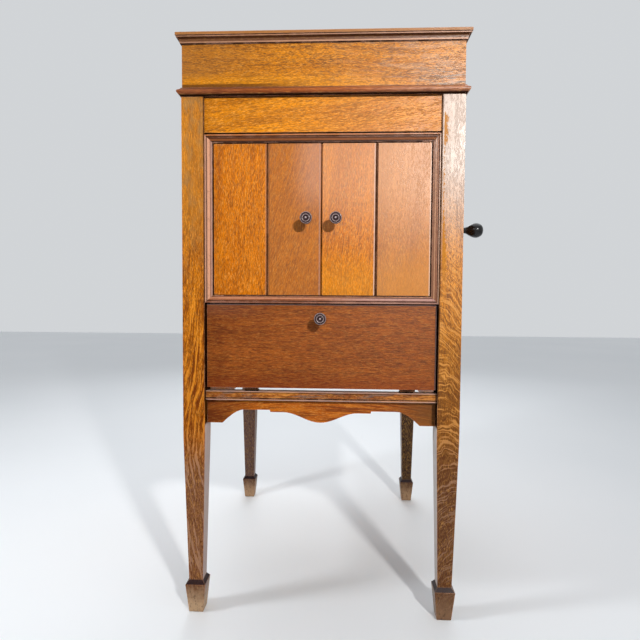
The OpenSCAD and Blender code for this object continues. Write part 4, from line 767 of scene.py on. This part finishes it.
def crown_tones(g, colour):
    """Golden along the top, painted shade in the quirks, the hollow and along the foot, and painted
    highlights on the lip and fillet, stronger to the right.
    """
    x, _, z = g.split(g.place)
    lit = g.ramp(x, -0.2, 0.2, 0.45, 1.0)
    drop = g.minus(LID_TOP, z)
    # Painted shade in the hollow and in the quirks
    cove_shade = g.stripe(drop, 7.6 * MM, 9.8 * MM, 0.4 * MM)
    crease_shade = g.larger(g.stripe(drop, 4.9 * MM, 5.6 * MM, 0.1 * MM),
                      g.over(drop, 15.5 * MM, 0.2 * MM))
    return g.stains_and_painted_light(
        colour,
        (g.under(drop, 4.8 * MM, 0.2 * MM), 0.75, "A46C38"),
        # Painted highlights on the lip and the fillet, stronger to the right
        (g.times(g.stripe(drop, 5.8 * MM, 7.3 * MM, 0.2 * MM), lit), 0.75, "C09074"),
        (g.without_shine(cove_shade), 0.90, "3A1E0E"),
        (g.stripe(drop, 10.0 * MM, 13.2 * MM, 0.4 * MM), 0.65, "64422E"),
        (g.times(g.stripe(drop, 13.4 * MM, 15.2 * MM, 0.2 * MM), lit), 0.90, "DCA888"),
        (g.without_shine(crease_shade), 0.95, "1A0A06"))


def make_oaks():
    """Every wood of the case, by node."""
    back_leg = leg_finish(0.70, "B89674", "9A8880", 0.85)
    side = oak("oak_side", "z", 19, *GOLD_OAK)
    doors = oak("oak_door", "z", 21, "D27608", "B45C05", "56280A", slant=board_slant,
                extra=door_tones, pores=0.80, blotches=0.15)
    bare = oak("oak_bare", "x", 27, *BARE_OAK, sheen=0.6)
    bare_deep = oak("oak_bare_deep", "y", 29, *BARE_OAK, sheen=0.6)
    batten = oak("oak_batten", "x", 31, *RED_OAK, sheen=0.5)
    return {
        "left_front_leg": oak("oak_left_leg", "z", 1, *GOLD_OAK, rays=long_rays,
                              extra=left_leg_finish,
                              ground=leg_ground("A05414", 0.60, "7E5640", 0.90)),
        "right_front_leg": oak("oak_right_leg", "z", 4, "E08C1E", "B86A18", "5E3210",
                               rays=arched_rays, extra=right_leg_finish, sheen=0.36, coat=0.20,
                               ground=leg_ground("7A4818", 0.84, "5C3C2A", 0.92)),
        "left_back_leg": oak("oak_back_left", "z", 5, *DEEP_OAK, extra=back_leg, pores=0.7,
                             ground=back_leg_shade("765E5A")),
        "right_back_leg": oak("oak_back_right", "z", 6, *DEEP_OAK, extra=back_leg, pores=0.7,
                              ground=back_leg_shade("261E1C")),
        "front_top_rail": oak("oak_rail", "x", 7, "DE880A", "BE6E0A", "5E340A", slant=0.10,
                              extra=top_rail_tones, sheen=0.42, pores=0.75, blotches=0.12),
        "front_bottom_rail": oak("oak_lower_rail", "x", 8, "BA6E2A", "8A461F", "3E1E10",
                                 extra=lower_rail_tones),
        "front_apron": oak("oak_apron", "x", 9, "C56919", "9D4B16", "6A3412", extra=apron_tones,
                           pores=0.6),
        "flap_board": oak("oak_flap", "x", 11, *RED_OAK, extra=flap_tones, sheen=0.40, pores=0.7,
                          glint_amount=0.20),
        "lid_frieze_boards": oak("oak_lid", "lid", 13, "D48210", "AC620E", "4A2A10",
                                 extra=frieze_tones, blotches=0.22),
        "lid_top_panel": oak("oak_top", "x", 15, *GOLD_OAK),
        "horn_front_frame": oak("oak_horn_frame", "x", 16, *RED_OAK, sheen=0.5),
        "back_panel": oak("oak_back", "z", 17, *RED_OAK, sheen=0.45),
        "motor_board": oak("oak_motor_board", "x", 18, *RED_OAK),
        "crown_moulding": oak("oak_crown", "lid", 23, *DARK_OAK, pores=0.5, extra=crown_tones),
        "lid_base_moulding": oak("oak_lid_base", "lid", 24, *DARK_OAK, sheen=0.30, pores=0.5,
                                 extra=base_tones),
        "door_surround": oak("oak_surround", "surround", 25, "AC7050", "83503A", "4A2A1C",
                             pores=0.6, extra=surround_tones),
        "left_side_panel": side,
        "right_side_panel": side,
        "left_door_boards": doors,
        "right_door_boards": doors,
        "left_door_battens": batten,
        "right_door_battens": batten,
        "record_floor": bare,
        "middle_shelf": bare,
        "bearers": bare_deep,
        "horn_boards": bare_deep,
    }


# ---------- Metals, felt, mica and the turned wood ----------

def metal(name, colour, tarnish, rough, amount, patch_size=0.01):
    """Bare metal with tarnish in patches, fine scratches and grime in the corners."""
    g = Graph(name)
    patch = g.cloud(patch_size, 4.0, 0.65)
    scratch = g.cloud((0.004, 0.0003, 0.004))
    shade = g.mix(g.step(patch, 0.42, 0.70, 0.0, amount), tint(colour), tint(tarnish))
    grime = g.step(g.openness(3 * MM, 4), 0.3, 0.9, 0.7, 0.0)
    shade = g.mix(grime, shade, tint("1C130A"))
    roughness = g.plus(g.step(patch, 0.3, 0.7, rough, rough + 0.18),
                       g.step(scratch, 0.55, 0.8, 0.0, 0.10))
    g.set(Base_Color=shade, Metallic=1.0, Roughness=roughness)
    g.bump(scratch, 0.03 * MM, 0.4)
    return g.material


def painted_iron(name, colour, rough):
    """Black paint over a cast skin, dulled in patches."""
    g = Graph(name)
    lump = g.cloud(0.002, 3.0, 0.6)
    broad = g.cloud(0.03, 3.0)
    g.set(Base_Color=g.mix(g.step(broad, 0.4, 0.7), tint(colour), tint("2E2A28")),
          Roughness=g.step(broad, 0.3, 0.7, rough, rough + 0.2), Coat_Weight=0.3)
    g.bump(lump, 0.1 * MM, 0.5)
    return g.material


def turned_wood(name, colour, streaks, rough, rings=()):
    """Dark polished turning. Rings are pale lines, painted highlights with wear on the crests, as
    (radius, width, amount) about the turning's own axis.
    """
    g = Graph(name)
    streak = g.cloud((0.0012, 0.006, 0.0012), 3.0, 0.6)
    broad = g.cloud(0.008)
    shade = g.mix(g.step(streak, 0.4, 0.7), tint(colour), tint(streaks))
    x, y, _ = g.split(g.place)
    radius = g.math("SQRT", g.plus(g.times(x, x), g.times(y, y)))
    # Pale rings: painted highlights on the crests, with wear
    for centre, width, amount in rings:
        shade = g.stains_and_painted_light(shade, (g.contour(radius, centre, width), amount, "C8B4B4"))
    # Corners darkened from an occlusion mask as painted shade, and arrises lighter
    shade = g.stains_and_painted_light(
        shade,
        (g.step(g.openness(2 * MM, 6), 0.2, 0.85, 1.0, 0.0), 0.9, "0C0605"),
        (g.step(g.flatness(0.5 * MM), 0.97, 0.80), 0.3, "9A7A6A"))
    g.set(Base_Color=shade, Roughness=g.step(broad, 0.3, 0.7, rough, rough + 0.1),
          Coat_Weight=0.25, Coat_Roughness=0.10, Specular_IOR_Level=0.35)
    g.bump(streak, 0.05 * MM, 0.4)
    return g.material


def felt(name, colour):
    """Short fibres, faded in patches."""
    g = Graph(name)
    fibre = g.cloud(0.0008, 4.0, 0.7)
    patch = g.cloud(0.03, 3.0, 0.6)
    shade = g.stains_and_painted_light(
        tint(colour),
        (g.step(fibre, 0.3, 0.7), 1.0, "1C2E20"),
        (g.step(patch, 0.4, 0.7), 0.4, "5A6A4C"))
    g.set(Base_Color=shade, Roughness=0.95, Sheen_Weight=0.4)
    g.bump(fibre, 0.6 * MM, 0.8)
    return g.material


def mica(name):
    """Clear flakes lying over each other."""
    g = Graph(name)
    flake = g.cloud(0.012, 4.0, 0.6, distortion=1.0)
    g.set(Base_Color=g.mix(g.step(flake, 0.4, 0.65), tint("D8CDA6"), tint("B8A878")),
          Roughness=g.step(flake, 0.3, 0.7, 0.12, 0.3), Coat_Weight=0.5)
    g.bump(flake, 0.1 * MM, 0.3)
    return g.material


def make_fittings():
    """Everything in the case that isn't wood, by node."""
    brass = metal("brass_aged", "C79A4C", "6E5428", 0.28, 0.8)
    browned = metal("brass_browned", "4A3020", "1E1410", 0.5, 0.9)
    nickel = metal("nickel_plate", "C9C6BE", "8C877C", 0.20, 0.5)
    iron = painted_iron("iron_black", "141414", 0.42)
    spring = metal("spring_steel", "5A6272", "2C3038", 0.30, 0.4)
    by_material = {
        brass: ["back_screws", "surround_brass", "lid_stay", "left_door_pivots",
                "right_door_pivots", "motor_plates", "intermediate_wheel", "spring_barrel",
                "governor", "brake_lever", "speed_lever"],
        browned: ["flap_hinge_leaves", "case_hinge_leaves", "lid_hinge_leaves"],
        nickel: ["needle_cups", "tonearm_base", "crank_escutcheon", "crank_arm",
                 "turntable_platter", "turntable_spindle", "tonearm_tube", "soundbox",
                 "needle_arm", "motor_pillars"],
        iron: ["horn_elbow", "winding_shaft", "winding_arbor"],
        spring: ["mainspring"],
        felt("felt_green", "2F4A34"): ["turntable_mat"],
        mica("mica_sheet"): ["diaphragm"],
    }
    return {node: material for material, nodes in by_material.items() for node in nodes}


# ---------- Turned pieces and screws ----------

# Outlines from the foot up: (radius, height), as shares of the largest radius
KNOB_OUTLINE = [
    (0, 0), (0.62, 0), (0.63, 0.05), (0.60, 0.13), (0.50, 0.20), (0.42, 0.40), (0.37, 0.75),
    (0.37, 1.10), (0.43, 1.55), (0.56, 1.85), (0.60, 1.97), (0.57, 2.08), (0.78, 2.17),
    (0.94, 2.30), (1.0, 2.44), (0.97, 2.58), (0.88, 2.66), (0.80, 2.61), (0.75, 2.66),
    (0.69, 2.72), (0.62, 2.66), (0.57, 2.58), (0.51, 2.60), (0.44, 2.70), (0.37, 2.62),
    (0.31, 2.58), (0.24, 2.66), (0.12, 2.78), (0, 2.80)]
# The grip's heights are shares of its length
GRIP_OUTLINE = [
    (0, 0), (0.30, 0), (0.44, 0.01), (0.46, 0.03), (0.42, 0.10), (0.38, 0.20), (0.37, 0.32),
    (0.38, 0.42), (0.47, 0.50), (0.68, 0.58), (0.89, 0.67), (1.0, 0.78), (0.92, 0.87),
    (0.71, 0.945), (0.38, 0.985), (0, 1.0)]
# Pale rings on the knob's head, painted highlights with wear: radius, width, amount
KNOB_RING_HIGHLIGHTS = [(9.1 * MM, 0.7 * MM, 0.50), (5.6 * MM, 1.0 * MM, 0.90), (0.0, 2.4 * MM, 0.80)]
TURNING_SIDES = 64
ON_AXIS = 1e-6


def turning_profile(outline, radius, length, steps):
    """A smooth curve through the outline's points, scaled, with both ends on the axis."""
    points = [Vector(point) for point in outline]
    points = [points[0]] + points + [points[-1]]
    curve = []
    for a, b, c, d in zip(points, points[1:], points[2:], points[3:]):
        for i in range(steps):
            t = i / steps
            bend = (2 * a - 5 * b + 4 * c - d) * t * t + (3 * b - a - 3 * c + d) * t ** 3
            curve.append(0.5 * (2 * b + (c - a) * t + bend))
    scale = length / outline[-1][1]
    profile = [(max(r * radius, 0.0), h * scale) for r, h in curve[1:]]
    return [(0.0, 0.0)] + profile + [(0.0, length)]


def turned(name, profile, material, place, axis):
    """A turning about its own Z axis, set with its foot at a place and its axis along another."""
    bm = bmesh.new()
    turns = [2 * math.pi * i / TURNING_SIDES for i in range(TURNING_SIDES)]
    rows = []
    for radius, height in profile:
        angles = turns if radius >= ON_AXIS else turns[:1]
        rows.append([bm.verts.new((radius * math.cos(a), radius * math.sin(a), height))
                     for a in angles])
    for low, high in zip(rows, rows[1:]):
        for i in range(TURNING_SIDES):
            j = (i + 1) % TURNING_SIDES
            corners = [low[i % len(low)], low[j % len(low)], high[j % len(high)], high[i % len(high)]]
            bm.faces.new(list(dict.fromkeys(corners))).smooth = True
    bmesh.ops.recalc_face_normals(bm, faces=bm.faces)
    obj = add_mesh(name, bm, material)
    obj.location = place
    obj.rotation_mode = "QUATERNION"
    obj.rotation_quaternion = Vector(axis).to_track_quat("Z", "Y")
    return obj


def make_knobs():
    """Three knobs with a flange, a slim neck, and a head turned with rings round a button."""
    wood = turned_wood("turned_knob", "3A2022", "1C0D0C", 0.26, KNOB_RING_HIGHLIGHTS)
    for name, body, wood_node in (("left_door_knob", "left_door", "left_door_boards"),
                                  ("right_door_knob", "right_door", "right_door_boards"),
                                  ("flap_knob", "flap", "flap_board")):
        low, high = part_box(name)
        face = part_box(wood_node)[0].y
        middle = (low + high) / 2
        profile = turning_profile(KNOB_OUTLINE, (high.x - low.x) / 2, face - low.y, 5)
        knob = turned(name + "_turned", profile, wood, (middle.x, face, middle.z), (0, -1, 0))
        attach(knob, body)
        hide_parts(name)


def make_grip():
    """The crank's black pear-shaped grip."""
    black = turned_wood("turned_black", "080707", "0E0C0B", 0.18)
    low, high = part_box("crank_grip")
    middle = (low + high) / 2
    profile = turning_profile(GRIP_OUTLINE, (high.z - low.z) / 2, high.x - low.x, 8)
    grip = turned("crank_grip_turned", profile, black, (low.x, middle.y, middle.z), (1, 0, 0))
    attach(grip, "grip")
    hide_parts("crank_grip")


# Screw heads: sides of each half, then half the slot, the top and the floor as shares of the radius
SCREW_SIDES = 20
HALF_SLOT, SCREW_TOP, SCREW_FLOOR = 0.16, 0.80, 0.97
# Heights of the wall and of the slot's floor as shares of the head's rise
WALL_RISE, FLOOR_RISE = 0.45, 0.25
# Angles in radians from one screw's slot to the next, and of the first
SLOT_TURN, FIRST_SLOT = 1.1, 0.4


def screw_heads(name, places, axis, radius, rise, material, body):
    """Slotted screw heads, each slot turned its own way: (place, angle of the slot)."""
    bm = bmesh.new()
    side = math.asin(HALF_SLOT)
    for place, angle in places:
        turn = Matrix.Translation(place) @ Vector(axis).to_track_quat("Z", "Y").to_matrix().to_4x4()
        turn = turn @ Matrix.Rotation(angle, 4, "Z")
        for flip in (0, math.pi):
            arc = [flip + side + (math.pi - 2 * side) * i / SCREW_SIDES
                   for i in range(SCREW_SIDES + 1)]
            rim = [(radius * math.cos(a), radius * math.sin(a)) for a in arc]
            wall = radius * HALF_SLOT * (-1 if flip else 1)
            top = [(x * SCREW_TOP, wall + (y - wall) * SCREW_TOP) for x, y in rim]
            levels = [[bm.verts.new(turn @ Vector((x, y, h))) for x, y in ring]
                      for ring, h in ((rim, 0), (rim, rise * WALL_RISE), (top, rise))]
            for low_row, high_row in zip(levels, levels[1:]):
                for i in range(SCREW_SIDES + 1):
                    j = (i + 1) % (SCREW_SIDES + 1)
                    bm.faces.new([low_row[i], low_row[j], high_row[j], high_row[i]])
            bm.faces.new(levels[2])
        floor = circle(radius * SCREW_FLOOR, SCREW_SIDES, 0)
        bm.faces.new([bm.verts.new(turn @ Vector((x, y, rise * FLOOR_RISE))) for x, y in floor])
    bmesh.ops.recalc_face_normals(bm, faces=bm.faces)
    screws = add_mesh(name, bm, material)
    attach(screws, body)


def circle(radius, count, first):
    """Places round a circle, starting at an angle."""
    turns = [first + 2 * math.pi * i / count for i in range(count)]
    return [(radius * math.cos(a), radius * math.sin(a)) for a in turns]


def make_screws():
    """Screws of the crank's escutcheon and of the tone arm's base, each at its own angle."""
    steel = metal("screw_nickel", "B8B4AA", "6E685C", 0.30, 0.7, 0.004)
    low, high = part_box("crank_escutcheon")
    middle = (low + high) / 2
    ring = circle(12.8 * MM, 3, math.pi / 2)
    places = [(Vector((high.x, middle.y + u, middle.z + v)), SLOT_TURN * i + FIRST_SLOT)
              for i, (u, v) in enumerate(ring)]
    screw_heads("escutcheon_screws", places, (1, 0, 0), 2.3 * MM, 0.9 * MM, steel, "cabinet")
    low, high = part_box("tonearm_base")
    middle = (low + high) / 2
    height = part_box("motor_board")[1].z + 4 * MM
    ring = circle(28.5 * MM, 4, 0.6)
    places = [(Vector((middle.x + u, middle.y + v, height)), SLOT_TURN * i + FIRST_SLOT)
              for i, (u, v) in enumerate(ring)]
    screw_heads("arm_base_screws", places, (0, 0, 1), 2.6 * MM, 1.0 * MM, steel, "cabinet")


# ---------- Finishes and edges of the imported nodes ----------

def finish_nodes(finishes):
    """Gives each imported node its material."""
    for name, material in finishes.items():
        materials = NODES[name].data.materials
        materials.clear()
        materials.append(material)


LEG_ARRIS, SHARP_ANGLE = 0.9 * MM, math.radians(40)


def soften_legs():
    """Rubs the arrises of the four legs."""
    for corner in ("left_front", "right_front", "left_back", "right_back"):
        rounding = NODES[corner + "_leg"].modifiers.new("arris", "BEVEL")
        rounding.width = LEG_ARRIS
        rounding.segments = 2
        rounding.limit_method = "ANGLE"
        rounding.angle_limit = SHARP_ANGLE
        rounding.harden_normals = True


# ---------- Assembly ----------

make_camera()
make_world()
make_lights()
make_floor()
finish_nodes({**make_oaks(), **make_fittings()})
soften_legs()
make_knobs()
make_grip()
make_screws()

bpy.context.scene.view_settings.view_transform = "Standard"
